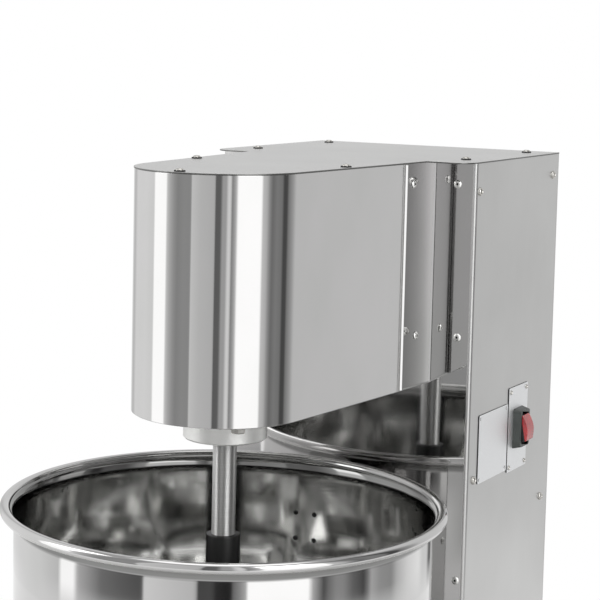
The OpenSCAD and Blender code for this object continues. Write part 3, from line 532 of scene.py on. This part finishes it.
def drum_bottom():
    """Flat floor with a turned-up edge."""
    thick = 2 * MM
    bend = 10 * MM
    centre = DRUM_R - thick - bend
    level = floor_lo.z + thick
    profile = [(0, level)] + arc(centre, level + bend, bend, -90, 0, 10)
    profile += [(DRUM_R, level + bend)] + arc(centre, level + bend, bend + thick, 0, -90, 10)
    profile += [(0, level - thick)]
    piece(spun(profile, steps=160, closed=False), "drum_bottom", "buffed", "drum_floor", sharp=50)


def drum_wall_screws():
    """Four small dark button-head screws through the drum's back wall."""
    low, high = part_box("drum_screws")
    head_r, shank_r = 2.8, 1.6
    sideways = 10.7 * MM
    sunk = 0.05 * MM
    bm = bmesh.new()
    for side in (-1, 1):
        for z in (low.z + head_r * MM, high.z - head_r * MM):
            x = (low.x + high.x) / 2 + side * sideways
            screw = spun(in_mm([(0, 1.5), (1.5, 1.3), (2.4, 0.7), (head_r, 0.05), (shank_r, 0),
                                (shank_r, -4.9), (0, -4.9)]), (0, 0), 16, closed=False)
            stamp(bm, screw, moved(0, SHAFT_Y, z) @ turned(-math.asin(x / DRUM_R), "Z")
                  @ moved(0, DRUM_R - sunk, 0) @ turned(QUARTER, "X"))
    piece(bm, "drum_wall_screws", "black_steel", "drum_screws")


# ---------------------------------------------------------------- head


def head_skin():
    """Bent head shell, and a chamfered hem that stands proud along its rear edges."""
    end = head_hi.y
    shell = folded_sheet(head_path(0, end), head_lo.z, head_hi.z, SHEET, rows=4)
    piece(shell, "head_skin", "mirror", "head_shell", 0.5, 3)
    # Each corner of the hem is (out from the shell, forward of its rear end)
    hem = in_mm([(0, 2.8), (1.5, 1.15), (1.5, 0.3), (1.2, 0), (-0.6, 0), (-0.6, 2.8)])
    hems = bmesh.new()
    for side in (-1, 1):
        outline = [(head_side(out, end - forward) * side, end - forward) for out, forward in hem]
        slab(outline, head_lo.z + 1 * MM, head_hi.z - 1 * MM, hems)
    piece(hems, "head_hems", "mirror", "head_shell", 0.15, sharp=25)


def cheek_plates():
    """Slightly dished plates that close the head's sides, each with a lip where it meets the column."""
    bm = bmesh.new()
    start, end = cheek_lo.y, cheek_hi.y
    inset = SHEET + 0.1 * MM
    lip_width = 2.6 * MM
    dish_depth = 0.65 * MM
    lip = in_mm([(1.2, 1.0), (1.2, 0.7), (0.1, 0.7), (0.1, 0), (-1.5, 0)])
    steps = 24
    for side in (-1, 1):
        outer, inner = [], []
        for i in range(steps + 1):
            share = i / steps
            y = start + (end - lip_width - start) * share
            dish = dish_depth * 4 * share * (1 - share)
            outer.append((head_side(-inset - dish, y) * side, y))
            inner.append((head_side(-inset - dish - SHEET, y) * side, y))
        outer += [(head_side(out - inset, end) * side, end - forward) for out, forward in lip]
        slab(outer + inner[::-1], cheek_lo.z, cheek_hi.z, bm)
    piece(bm, "cheek_plates", "mirror", "head_cheeks", 0.12, sharp=25)


def cover():
    """One flat cover over the head and the column, with broken edges."""
    x = cover_hi.x
    ear = FRONT_Y - 22 * MM
    corner = 20 * MM
    lap = 0.5 * MM
    front = head_path(lap, ear)[1:-1]
    outline = [(-x, cover_hi.y), (-x, ear + corner)]
    outline += arc(-x + corner, ear + corner, corner, 180, 270, 8)[1:]
    outline += [(-head_side(lap, ear), ear)] + front + [(head_side(lap, ear), ear)]
    outline += arc(x - corner, ear + corner, corner, 270, 360, 8)[:-1]
    outline += [(x, ear + corner), (x, cover_hi.y)]
    piece(slab(outline, cover_lo.z, cover_hi.z), "flat_cover", "satin_cover", "top_cover", 0.4, 3)


# ---------------------------------------------------------------- column and base


def column_front():
    """Flat polished sheet between the column's sides."""
    corners = [(front_lo.x, front_hi.y), (front_lo.x, front_lo.y), (front_hi.x, front_lo.y),
               (front_hi.x, front_hi.y)]
    sheet = slab(corners, front_lo.z, front_hi.z)
    piece(sheet, "column_front_sheet", "mirror", "column_front_panel", 0.25)


def column_side(side, name, node):
    """Side panel whose front edge is rolled round to meet the front sheet."""
    edge = 4 * MM
    path = arc(SIDE_X - edge, FRONT_Y + edge, edge, 270, 360, 8) + [(SIDE_X, right_hi.y)]
    panel = folded_sheet([(x * side, y) for x, y in path][::side], right_lo.z, right_hi.z, SHEET)
    piece(panel, name, "satin_upright", node, 0.3)


def cabinet():
    """Welded cabinet under the drum, rounded at its front corners and along its top edge."""
    corner = 40 * MM
    x, y = base_hi.x, base_lo.y
    outline = [(-x, base_hi.y)] + arc(-x + corner, y + corner, corner, 180, 270, 16)
    outline += arc(x - corner, y + corner, corner, 270, 360, 16) + [(x, base_hi.y)]
    piece(slab(outline, base_lo.z, base_hi.z), "welded_cabinet", "satin_upright", "base_cabinet", 3.0, 4)


def feet():
    """Moulded rubber feet, waisted, with a pit for the bolt."""
    low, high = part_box("rubber_feet")
    r = 22 * MM
    bore = 4.4 * MM
    pit = 8 * MM
    profile = [(bore, pit), (r * 0.4, pit), (r * 0.4, 0.6 * MM), (r * 0.44, 0), (r * 0.8, 0),
               (r * 0.88, 0.8 * MM), (r * 0.99, 3.4 * MM), (r, 4.4 * MM), (r * 0.99, 5.2 * MM),
               (r * 0.85, high.z - 1 * MM), (r * 0.82, high.z), (bore, high.z)]
    bm = bmesh.new()
    for x in (low.x + r, high.x - r):
        for y in (low.y + r, high.y - r):
            spun(profile, (x, y), 40, bm)
    piece(bm, "moulded_feet", "rubber", "rubber_feet", sharp=40)


# ---------------------------------------------------------------- shaft, boss and agitator


def bearing_housing():
    """Turned boss under the head, with a chamfered mouth and a flange."""
    boss, flange, mouth = 40.5 * MM, 60 * MM, 17 * MM
    seal, spigot, seat = 20 * MM, 32.5 * MM, 27.5 * MM
    fillet = 3 * MM
    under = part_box("head_floor_plate")[0].z
    bottom = boss_lo.z
    profile = [(mouth, bottom + 8 * MM), (seal, bottom + 8 * MM), (seal, bottom + 0.8 * MM),
               (seal + 0.8 * MM, bottom), (boss - 1.5 * MM, bottom), (boss, bottom + 1.5 * MM)]
    profile += arc(boss + fillet, under - 8 * MM - fillet, fillet, 180, 90, 6)
    profile += [(flange - 1 * MM, under - 8 * MM), (flange, under - 7 * MM), (flange, under),
                (spigot, under), (spigot, boss_hi.z), (seat, boss_hi.z), (seat, bottom + 10 * MM),
                (mouth, bottom + 10 * MM)]
    piece(spun(profile, steps=96), "turned_boss", "boss", "bearing_boss", sharp=30)


def hexagon_bolts():
    """Hexagon bolts under the boss flange, with chamfered corners and round shanks."""
    low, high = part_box("boss_bolts")
    ring = 50.25 * MM
    corner, shank = 7.36 * MM, 4 * MM
    seat = low.z + 5.28 * MM
    bm = bmesh.new()
    for k in range(4):
        turn = math.radians(45 + 90 * k)
        place = (ring * math.cos(turn), SHAFT_Y + ring * math.sin(turn))
        spun([(0, low.z), (corner * 0.8, low.z), (corner, low.z + 1 * MM), (corner, seat), (0, seat)],
             place, 6, bm, closed=False)
        spun([(0, seat), (shank, seat), (shank, high.z), (0, high.z)], place, 20, bm, closed=False)
    piece(bm, "flange_bolts", "nickel", "boss_bolts")


def shaft():
    """Ground mixing shaft with its journals, collar and gear seat."""
    journal, seat, collar = 15 * MM, 17 * MM, 21 * MM
    gear_lo, gear_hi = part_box("main_gear")
    step = boss_lo.z + 9 * MM
    under_gear = gear_lo.z - 7 * MM
    profile = [(0, shaft_lo.z), (SHAFT_R, shaft_lo.z), (SHAFT_R, step), (journal, step),
               (journal, under_gear), (collar, under_gear), (collar, gear_lo.z), (seat, gear_lo.z),
               (seat, gear_hi.z), (journal, gear_hi.z), (journal, shaft_hi.z), (0, shaft_hi.z)]
    piece(spun(profile, steps=64, closed=False), "ground_shaft", "bar", "mixing_shaft", sharp=30)


def sleeve():
    """Black sleeve over the shaft's end, chamfered at its top and foot."""
    r = (sleeve_hi.x - sleeve_lo.x) / 2
    foot, top = sleeve_lo.z, sleeve_hi.z
    profile = [(0, foot), (r - 1 * MM, foot), (r, foot + 1 * MM), (r, top - 1.2 * MM),
               (r - 0.4 * MM, top - 0.4 * MM), (r - 1.4 * MM, top), (SHAFT_R, top),
               (SHAFT_R, shaft_lo.z), (0, shaft_lo.z)]
    piece(spun(profile, steps=64, closed=False), "black_sleeve", "sleeve", "agitator_sleeve", sharp=30)


def agitator():
    """Three-cornered plate with a leaning vane along each corner."""
    reach, side_at, thick = 184 * MM, 95 * MM, 5 * MM
    hub, end = 17 * MM, 178 * MM
    turn = -4.5
    lean = math.radians(28)
    rise = (vanes_hi.z - vanes_lo.z) / math.cos(lean)
    tip = math.degrees(math.acos(side_at / reach))
    outline = []
    for k in range(3):
        middle = turn + 120 * k
        outline += arc(0, SHAFT_Y, reach, middle - 60 + tip, middle + 60 - tip, 4)
    bm = slab(outline, vanes_lo.z, vanes_lo.z + thick)
    for k in range(3):
        vane = bmesh.ops.create_cube(bm, size=1.0)["verts"]
        place = moved(0, SHAFT_Y, vanes_lo.z) @ turned(math.radians(turn + 120 * k), "Z")
        standing = turned(-lean, "X") @ moved((hub + end) / 2, 0, rise / 2)
        sized = Matrix.Diagonal((end - hub, thick, rise - thick, 1))
        bmesh.ops.transform(bm, matrix=place @ standing @ sized, verts=vane)
    piece(bm, "three_vane_agitator", "buffed", "agitator_vanes", 1.0, 3)


# ---------------------------------------------------------------- switch, plates and fasteners

# Stands a shape that is drawn flat (u to the back, v up, w outwards) on the right panel
ON_PANEL = Matrix(((0, 0, 1, 0), (1, 0, 0, 0), (0, 1, 0, 0), (0, 0, 0, 1)))


def middle_of(node):
    """Middle of a node that lies on a side panel, as y and z."""
    low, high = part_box(node)
    return (low.y + high.y) / 2, (low.z + high.z) / 2


def inner_corners(node, margin):
    """The four places inside a plate's corners, as y and z, a margin from its edges."""
    low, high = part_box(node)
    y, z = middle_of(node)
    across, up = (high.y - low.y) / 2 - margin, (high.z - low.z) / 2 - margin
    return [(y + u * across, z + v * up) for u in (-1, 1) for v in (-1, 1)]


def rounded_rectangle(width, height, corner):
    """Outline of a rounded rectangle about the origin."""
    w, h = width / 2 - corner, height / 2 - corner
    outline = []
    for k, (sx, sy) in enumerate(((1, 1), (-1, 1), (-1, -1), (1, -1))):
        outline += arc(sx * w, sy * h, corner, 90 * k, 90 * k + 90, 6)
    return outline


def plate_on_panel(node, corner):
    """Thin plate with rounded corners."""
    low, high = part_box(node)
    bm = slab(rounded_rectangle(high.y - low.y, high.z - low.z, corner), 0, PLATE)
    bmesh.ops.transform(bm, matrix=moved(SIDE_X, *middle_of(node)) @ ON_PANEL, verts=bm.verts)
    return bm


def switch_plate():
    """Plate behind the switch."""
    piece(plate_on_panel("switch_plate", 1.5 * MM), "switch_surround", "plate", "switch_plate", 0.2)


def blank_plate():
    """Blank plate held by four drive pins."""
    bm = plate_on_panel("rating_plate", 2.0 * MM)
    dome = in_mm([(0, 1.8), (0.8, 1.7), (1.5, 1.3), (1.8, 0.9), (0, 0.9)])
    for y, z in inner_corners("rating_plate", 4 * MM):
        stamp(bm, spun(dome, (0, 0), 16, closed=False), moved(SIDE_X, y, z) @ ON_PANEL)
    piece(bm, "blank_plate", "plate", "rating_plate", 0.15)


def rectangle_ring(bm, outer, inner, low, high, crown=None):
    """Frame between outlines with as many points each. Its outside may lean in to a smaller crown."""
    loops = []
    for outline, z in ((outer, low), (crown or outer, high), (inner, high), (inner, low)):
        loop = [bm.verts.new((u, v, z)) for u, v in outline]
        loops.append([bm.edges.new(pair) for pair in zip(loop, loop[1:] + loop[:1])])
    for a, b in zip(loops, loops[1:] + loops[:1]):
        bmesh.ops.bridge_loops(bm, edges=a + b)


def bezel():
    """Moulded switch bezel: a thick frame round a pocket, with the works behind."""
    low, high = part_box("switch_body")
    width, height, out = high.y - low.y, high.z - low.z, high.x - SIDE_X
    corner = 2.5 * MM
    floor_at = -4 * MM
    pocket = rounded_rectangle(19.8 * MM, 33.2 * MM, 0.8 * MM)
    crown = rounded_rectangle(width - 3.6 * MM, height - 4.4 * MM, corner)
    works = rounded_rectangle(width - 4.6 * MM, height - 4.6 * MM, 1 * MM)
    bm = bmesh.new()
    rectangle_ring(bm, rounded_rectangle(width, height, corner), pocket, PLATE, out, crown)
    slab(works, low.x - SIDE_X, floor_at, bm)
    rectangle_ring(bm, works, pocket, floor_at, PLATE)
    bmesh.ops.transform(bm, matrix=moved(SIDE_X, *middle_of("switch_body")) @ ON_PANEL, verts=bm.verts)
    piece(bm, "switch_bezel", "bezel", "switch_body", 0.9, 3, sharp=25)


def rocker_layer(name, key, node, inner, outer, bulge):
    """One layer of the rocker between two distances from its pivot, drawn in its tilted rest pose."""
    half_swing = math.radians(11)
    reach, width = 16 * MM, 19 * MM
    half = math.sqrt(reach ** 2 - outer ** 2)
    side = [(outer + bulge * math.cos(math.pi * i / 16), half * i / 8) for i in range(8)]
    start, end = [90 - math.degrees(math.asin(d / reach)) for d in (outer, inner)]
    side += arc(0, 0, reach, start, end, 5)
    profile = side + [(x, -v) for x, v in side[:0:-1]]
    bm = extruded(bmesh.new(), [(x, -width / 2, v) for x, v in profile], (0, width, 0))
    pivot = moved(SIDE_X + 5 * MM, *middle_of("switch_body"))
    bmesh.ops.transform(bm, matrix=pivot @ turned(-half_swing, "Y"), verts=bm.verts)
    piece(bm, name, key, node, 0.5, 3)


def rocker():
    """Black rocker with a red cap that bulges along its middle."""
    seam = 6 * MM
    rocker_layer("rocker_core", "black", "switch_rocker", -3 * MM, seam, 0.0)
    rocker_layer("red_rocker_cap", "red", "rocker_cap", seam, 8 * MM, 3.2 * MM)


def screw_head(bm, place, r=4.5 * MM, height=3 * MM):
    """Pan-head screw with a round recess, standing on the plane that the matrix gives."""
    rim = height - 0.1 * MM
    profile = [(0, height - 1.4 * MM), (0.9 * MM, height - 1.2 * MM), (1.6 * MM, rim), (r * 0.56, rim),
               (r * 0.82, height * 0.72), (r * 0.96, height * 0.36), (r, 0), (0, 0)]
    stamp(bm, spun(profile, (0, 0), 16, closed=False), place)


def rivet_head(bm, place):
    """Domed blind rivet with a pit where its mandrel broke off."""
    r = 4.25
    profile = in_mm([(0, 0.5), (1.2, 0.5), (1.3, 1.5), (1.7, 1.65), (r * 0.62, 1.45), (r * 0.86, 0.9),
                     (r, 0.15), (r, 0), (0, 0)])
    stamp(bm, spun(profile, (0, 0), 20, closed=False), place)


# The casing's fasteners are placed from the rim, the head's top and the column's front
HEAD_TOP = head_hi.z
FRONT_FOOT = front_lo.z
FRONT_X = front_hi.x
COLUMN_DEPTH = right_hi.y - SHEET - FRONT_Y


def cover_places():
    """Where the cover's screws stand, as x and y."""
    tab = 6 * MM
    side_y = SHAFT_Y + 75 * MM
    side_x = head_side(-SHEET, side_y) - tab
    places = [(0, HEAD_Y - HEAD_R + SHEET + tab), (-side_x, side_y), (side_x, side_y)]
    rows = (FRONT_Y + 30.5 * MM, FRONT_Y + COLUMN_DEPTH - 30 * MM)
    return places + [(side * (FRONT_X - 22 * MM), y) for side in (-1, 1) for y in rows]


def casing_screws():
    """Pan-head screws in the cover, the sides, the back and the switch plate, with dark rubber rings
    under the cover's screws as painted shade.
    """
    screws, shade_rings = bmesh.new(), bmesh.new()
    for x, y in cover_places():
        screw_head(screws, moved(x, y, cover_hi.z))
        # Painted shade: a dark rubber ring round each cover screw's head darkens its rim
        seal = in_mm([(3, 0), (5.2, 0), (5.4, 0.5), (5, 1.2), (3, 1.2)])
        spun([(r, cover_hi.z + z) for r, z in seal], (x, y), 24, shade_rings)
    front, rear = 15 * MM, COLUMN_DEPTH - 14 * MM
    sides = [(9 * MM, HEAD_TOP - 29 * MM), (rear, HEAD_TOP - 23 * MM), (front, RIM_Z - 6 * MM),
             (rear - 5 * MM, RIM_Z - 64 * MM), (front, RIM_Z - 220 * MM), (rear, RIM_Z - 240 * MM),
             (20 * MM, FRONT_FOOT + 20 * MM), (rear, FRONT_FOOT + 20 * MM)]
    for side in (-1, 1):
        for y, z in sides:
            screw_head(screws, moved(side * SIDE_X, FRONT_Y + y, z) @ turned(side * QUARTER, "Y"))
    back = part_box("column_back_panel")[1].y
    for side in (-1, 1):
        for z in (HEAD_TOP - 14 * MM, (HEAD_TOP + FRONT_FOOT) / 2, FRONT_FOOT + 20 * MM):
            screw_head(screws, moved(side * (FRONT_X - 12 * MM), back, z) @ turned(-QUARTER, "X"))
    for y, z in inner_corners("switch_plate", 5 * MM):
        screw_head(screws, moved(SIDE_X + PLATE, y, z) @ ON_PANEL, 2.6 * MM, 1.5 * MM)
    piece(screws, "pan_head_screws", "nickel", "casing_screws")
    piece(shade_rings, "screw_shade_rings", "rubber", "casing_screws")


def casing_rivets():
    """Blind rivets in the column's front and the cheek plates, with the stubs of their mandrels blackened
    as painted shade in the pits.
    """
    places = []
    for side in (-1, 1):
        for inset, z in ((17 * MM, HEAD_TOP - 22 * MM), (12.5 * MM, RIM_Z + 145 * MM),
                         (6 * MM, RIM_Z - 111 * MM)):
            places.append(moved(side * (FRONT_X - inset), FRONT_Y, z) @ turned(QUARTER, "X"))
        for y, z in ((FRONT_Y - 42 * MM, HEAD_TOP - 21 * MM), (FRONT_Y - 30 * MM, RIM_Z + 148 * MM)):
            places.append(moved(side * head_side(-1.8 * MM, y), y, z)
                          @ turned(-side * SLOPE, "Z") @ turned(side * QUARTER, "Y"))
    rivets, shaded_stubs = bmesh.new(), bmesh.new()
    for place in places:
        rivet_head(rivets, place)
        # The mandrel stubs are real; their black finish is painted shade that darkens the pits
        bmesh.ops.create_cone(shaded_stubs, cap_ends=True, segments=16, radius1=1.35 * MM, radius2=1.15 * MM,
                              depth=0.9 * MM, matrix=place @ moved(0, 0, 0.55 * MM))
    piece(rivets, "blind_rivets", "rivet", "casing_rivets")
    piece(shaded_stubs, "rivet_stubs", "black_steel", "casing_rivets")


def gland():
    """Moulded cable gland: threaded body, dome nut, locknut and an open mouth for the cord."""
    bore, body, nut = 4.5, 10, 13
    parts = [
        (32, [(bore, -11.5), (body, -11.5), (body, 8), (bore, 8)]),
        (6, [(body, 0), (nut - 0.8, 0), (nut, 0.8), (nut, 7.2), (nut - 0.8, 8), (body, 8)]),
        (6, [(body, -6.5), (14, -6.5), (14, -1.6), (body, -1.6)]),
        (32, [(bore, 8), (11, 8), (10.6, 14), (9.6, 18.4), (8.4, 20), (5.6, 20), (bore, 18.8)]),
    ]
    bm = bmesh.new()
    for steps, profile in parts:
        spun(in_mm(profile), (0, 0), steps, bm)
    place = moved(-SIDE_X, *middle_of("cable_gland")) @ turned(-QUARTER, "Y")
    bmesh.ops.transform(bm, matrix=place, verts=bm.verts)
    piece(bm, "moulded_gland", "black", "cable_gland", 0.3)


for make in (drum, drum_bottom, drum_wall_screws, head_skin, cheek_plates, cover, column_front, cabinet,
             feet, bearing_housing, hexagon_bolts, shaft, sleeve, agitator, switch_plate, blank_plate,
             bezel, rocker, casing_screws, casing_rivets, gland):
    make()
column_side(1, "right_side_panel", "column_right_panel")
column_side(-1, "left_side_panel", "column_left_panel")

# ---------------------------------------------------------------- studio

RING_R = 1.3
RING_H = 2.1
BRIGHTEST = 1.6

# Brightness of the soft cards that stand in a ring round the machine, by direction in degrees
CARDS = [
    (-180, 0.97), (-170, 1.00), (-154, 0.96), (-152, 1.60), (-133.5, 1.60), (-131.5, 0.86),
    (-127, 0.62), (-121, 0.44), (-116, 0.35), (-107, 0.39), (-98.5, 0.38), (-97.5, 0.84), (-86, 0.72),
    (-69.0, 0.66), (-68.0, 0.16), (-61, 0.17), (-59.8, 0.50), (-55, 0.50), (-52.5, 0.95), (-49.5, 1.00),
    (-48.5, 0.28), (-45, 0.50), (-42.5, 0.72), (-40.5, 1.60), (-10.5, 1.60), (-8.5, 0.80), (-3, 0.66),
    (0.5, 0.40), (5, 0.22), (12, 0.30), (20, 0.26), (23, 0.09), (28.5, 0.10), (31, 0.27), (40, 0.50),
    (46, 0.74), (56, 0.78), (64, 0.80), (140, 0.80), (152, 0.60), (164, 0.92), (180, 0.97),
]

# The same for the low cards, which stand in the drum's outside
LOW_CARDS = [
    (-180, 0.94), (-166, 0.92), (-158, 0.84), (-150, 0.78), (-148, 1.50), (-139, 1.50), (-136, 0.60),
    (-128, 0.40), (-121, 0.22), (-110, 0.16), (-98.5, 0.12), (-97.5, 0.93), (-87, 0.83), (-72, 0.72),
    (-70.5, 0.09), (-64, 0.10), (-62, 0.04), (-55, 0.02), (-54, 0.20), (-50, 0.40), (-47.5, 0.66),
    (-46.5, 1.60), (-16.5, 1.60), (-14.5, 0.64), (-11.5, 0.35), (-8, 0.08), (-6.5, 0.20), (-1, 0.37),
    (3, 0.35), (8.5, 0.18), (15.5, 0.09), (18, 0.22), (21, 0.56), (27, 0.42), (36, 0.38), (41, 0.67),
    (51, 0.95), (64, 1.10), (70, 0.85), (78, 0.80), (82, 0.18), (92, 0.18), (104, 0.60), (140, 0.80),
    (180, 0.94),
]


def staged(bm, name, material, surface, seen=False):
    """A piece of the studio with that surface, unseen by the camera unless told otherwise."""
    tree = material.node_tree
    feed(tree, tree.nodes["Material Output"], {"Surface": surface})
    mesh = bpy.data.meshes.new(name)
    bm.to_mesh(mesh)
    bm.free()
    mesh.materials.append(material)
    thing = bpy.data.objects.new(name, mesh)
    bpy.context.scene.collection.objects.link(thing)
    thing.visible_camera = seen


def floor():
    """Pale floor that is plain white to the eye, and in metal or glass, well away from the machine."""
    bm = bmesh.new()
    bmesh.ops.create_grid(bm, x_segments=8, y_segments=8, size=9.0)
    material, tree, shader, mm = new_material("pale_studio_floor")
    feed(tree, shader, {"Base Color": srgb("#e9e9e8"), "Roughness": 0.9})
    ray = add(tree, "LightPath").outputs
    mirrored = add(tree, "Math", {0: ray["Is Camera Ray"], 1: ray["Is Glossy Ray"]}, operation="MAXIMUM")
    seen = add(tree, "Math", {0: mirrored, 1: ray["Is Transmission Ray"]}, operation="MAXIMUM")
    away = add(tree, "VectorMath", {0: mm}, operation="LENGTH")
    fade = add(tree, "MapRange", {"Value": away, "From Min": 550, "From Max": 1050})
    amount = add(tree, "Math", {0: fade, 1: seen}, operation="MULTIPLY")
    white = add(tree, "Emission", {"Color": (1, 1, 1, 1), "Strength": 1.0})
    surface = add(tree, "MixShader", {0: amount, 1: shader, 2: white})
    staged(bm, "studio_floor", material, surface, seen=True)


def card_material(name):
    """An empty material for a glowing card, with its coordinates measured from the shaft."""
    material = bpy.data.materials.new(name)
    material.use_nodes = True
    tree = material.node_tree
    tree.nodes.remove(tree.nodes["Principled BSDF"])
    place = add(tree, "TexCoord").outputs["Object"]
    return material, tree, add(tree, "VectorMath", {0: place, 1: (0, -SHAFT_Y, 0)}, operation="ADD")


def tone_round(tree, direction, cards):
    """Tone of a row of cards by direction, in two ramps that meet in the middle."""
    half = len(cards) // 2
    first, second = [add(tree, "ValToRGB", {"Fac": direction},
                         {(angle + 180) / 360: level / BRIGHTEST for angle, level in part})
                     for part in (cards[:half + 1], cards[half:])]
    later = add(tree, "Math", {0: direction, 1: (cards[half][0] + 180) / 360}, operation="GREATER_THAN")
    return add(tree, "Mix", {"Factor": later, "A": first, "B": second}, data_type="RGBA")


def card_ring():
    """Ring of soft cards whose tones stand in the polished metal as upright bands."""
    bm = bmesh.new()
    bmesh.ops.create_cone(bm, cap_ends=False, segments=96, radius1=RING_R, radius2=RING_R, depth=RING_H,
                          matrix=moved(0, SHAFT_Y, RING_H / 2 + 2 * MM))
    bmesh.ops.reverse_faces(bm, faces=bm.faces)
    material, tree, centred = card_material("soft_cards")
    x, y, z = add(tree, "SeparateXYZ", {0: centred}).outputs
    angle = add(tree, "Math", {0: y, 1: x}, operation="ARCTAN2")
    direction = add(tree, "MapRange", {"Value": angle, "From Min": -math.pi, "From Max": math.pi})
    tone = add(tree, "Mix", {
        "Factor": add(tree, "MapRange", {"Value": z, "From Min": 0.1, "From Max": 0.15}),
        "A": tone_round(tree, direction, LOW_CARDS),
        "B": tone_round(tree, direction, CARDS),
    }, data_type="RGBA")
    # The cards' feet fade into the white floor
    foot = add(tree, "MapRange", {"Value": z, "From Min": 0.0, "From Max": 0.05})
    faded = add(tree, "Mix", {"Factor": foot, "A": (0.6, 0.6, 0.6, 1.0), "B": tone}, data_type="RGBA")
    # The brightest cards are lamps from shoulder height up
    lamp = add(tree, "Math", {0: tone, 1: 0.9}, operation="GREATER_THAN")
    high = add(tree, "MapRange", {"Value": z, "From Min": 0.75, "From Max": 0.95, "To Max": 1.8})
    more = add(tree, "Math", {0: lamp, 1: high, 2: BRIGHTEST}, operation="MULTIPLY_ADD")
    staged(bm, "soft_card_ring", material, add(tree, "Emission", {"Color": faded, "Strength": more}))


def top_light():
    """Grey sheet over the ring with a round soft light in its middle."""
    bm = bmesh.new()
    bmesh.ops.create_circle(bm, cap_ends=True, segments=96, radius=RING_R + 0.02,
                            matrix=moved(0, SHAFT_Y, RING_H + 10 * MM))
    bmesh.ops.reverse_faces(bm, faces=bm.faces)
    material, tree, centred = card_material("soft_top_light")
    flat = add(tree, "VectorMath", {0: centred, 1: (1, 1, 0)}, operation="MULTIPLY")
    away = add(tree, "VectorMath", {0: flat}, operation="LENGTH")
    share = add(tree, "Math", {0: away, 1: RING_R}, operation="DIVIDE")
    tone = add(tree, "ValToRGB", {"Fac": share}, {0.0: 1.0, 0.45: 1.0, 0.62: 0.3, 1.0: 0.3})
    staged(bm, "soft_top_light", material, add(tree, "Emission", {"Color": tone, "Strength": 1.7}))


def world():
    """White surroundings."""
    sky = bpy.data.worlds.new("white_studio")
    bpy.context.scene.world = sky
    sky.use_nodes = True
    feed(sky.node_tree, sky.node_tree.nodes["Background"], {"Color": (1, 1, 1, 1), "Strength": 1.0})


def camera():
    """Long lens from the front right, a little above the rim."""
    data = bpy.data.cameras.new("studio_camera")
    data.sensor_width = 36.0
    data.lens = 106.3
    data.shift_x = 0.125
    data.shift_y = -0.1417
    data.clip_end = 60.0
    eye = Vector((862.2, -1434.8, 445.3)) * MM + Vector((0, SHAFT_Y, RIM_Z))
    yaw, pitch, roll = math.radians(31.141), math.radians(5.617), math.radians(1.071)
    ahead = Vector((-math.sin(yaw) * math.cos(pitch), math.cos(yaw) * math.cos(pitch), -math.sin(pitch)))
    right = Vector((math.cos(yaw), math.sin(yaw), 0))
    up = right.cross(ahead)
    across = right * math.cos(roll) + up * math.sin(roll)
    upright = up * math.cos(roll) - right * math.sin(roll)
    axes = Matrix((across, upright, -ahead)).transposed().to_4x4()
    thing = bpy.data.objects.new("studio_camera", data)
    bpy.context.scene.collection.objects.link(thing)
    thing.matrix_world = Matrix.Translation(eye) @ axes
    bpy.context.scene.camera = thing


for make in (floor, card_ring, top_light, world, camera):
    make()
bpy.context.scene.view_settings.view_transform = "Standard"
bpy.context.scene.cycles.glossy_bounces = 12  # the polished drum reflects itself many times over
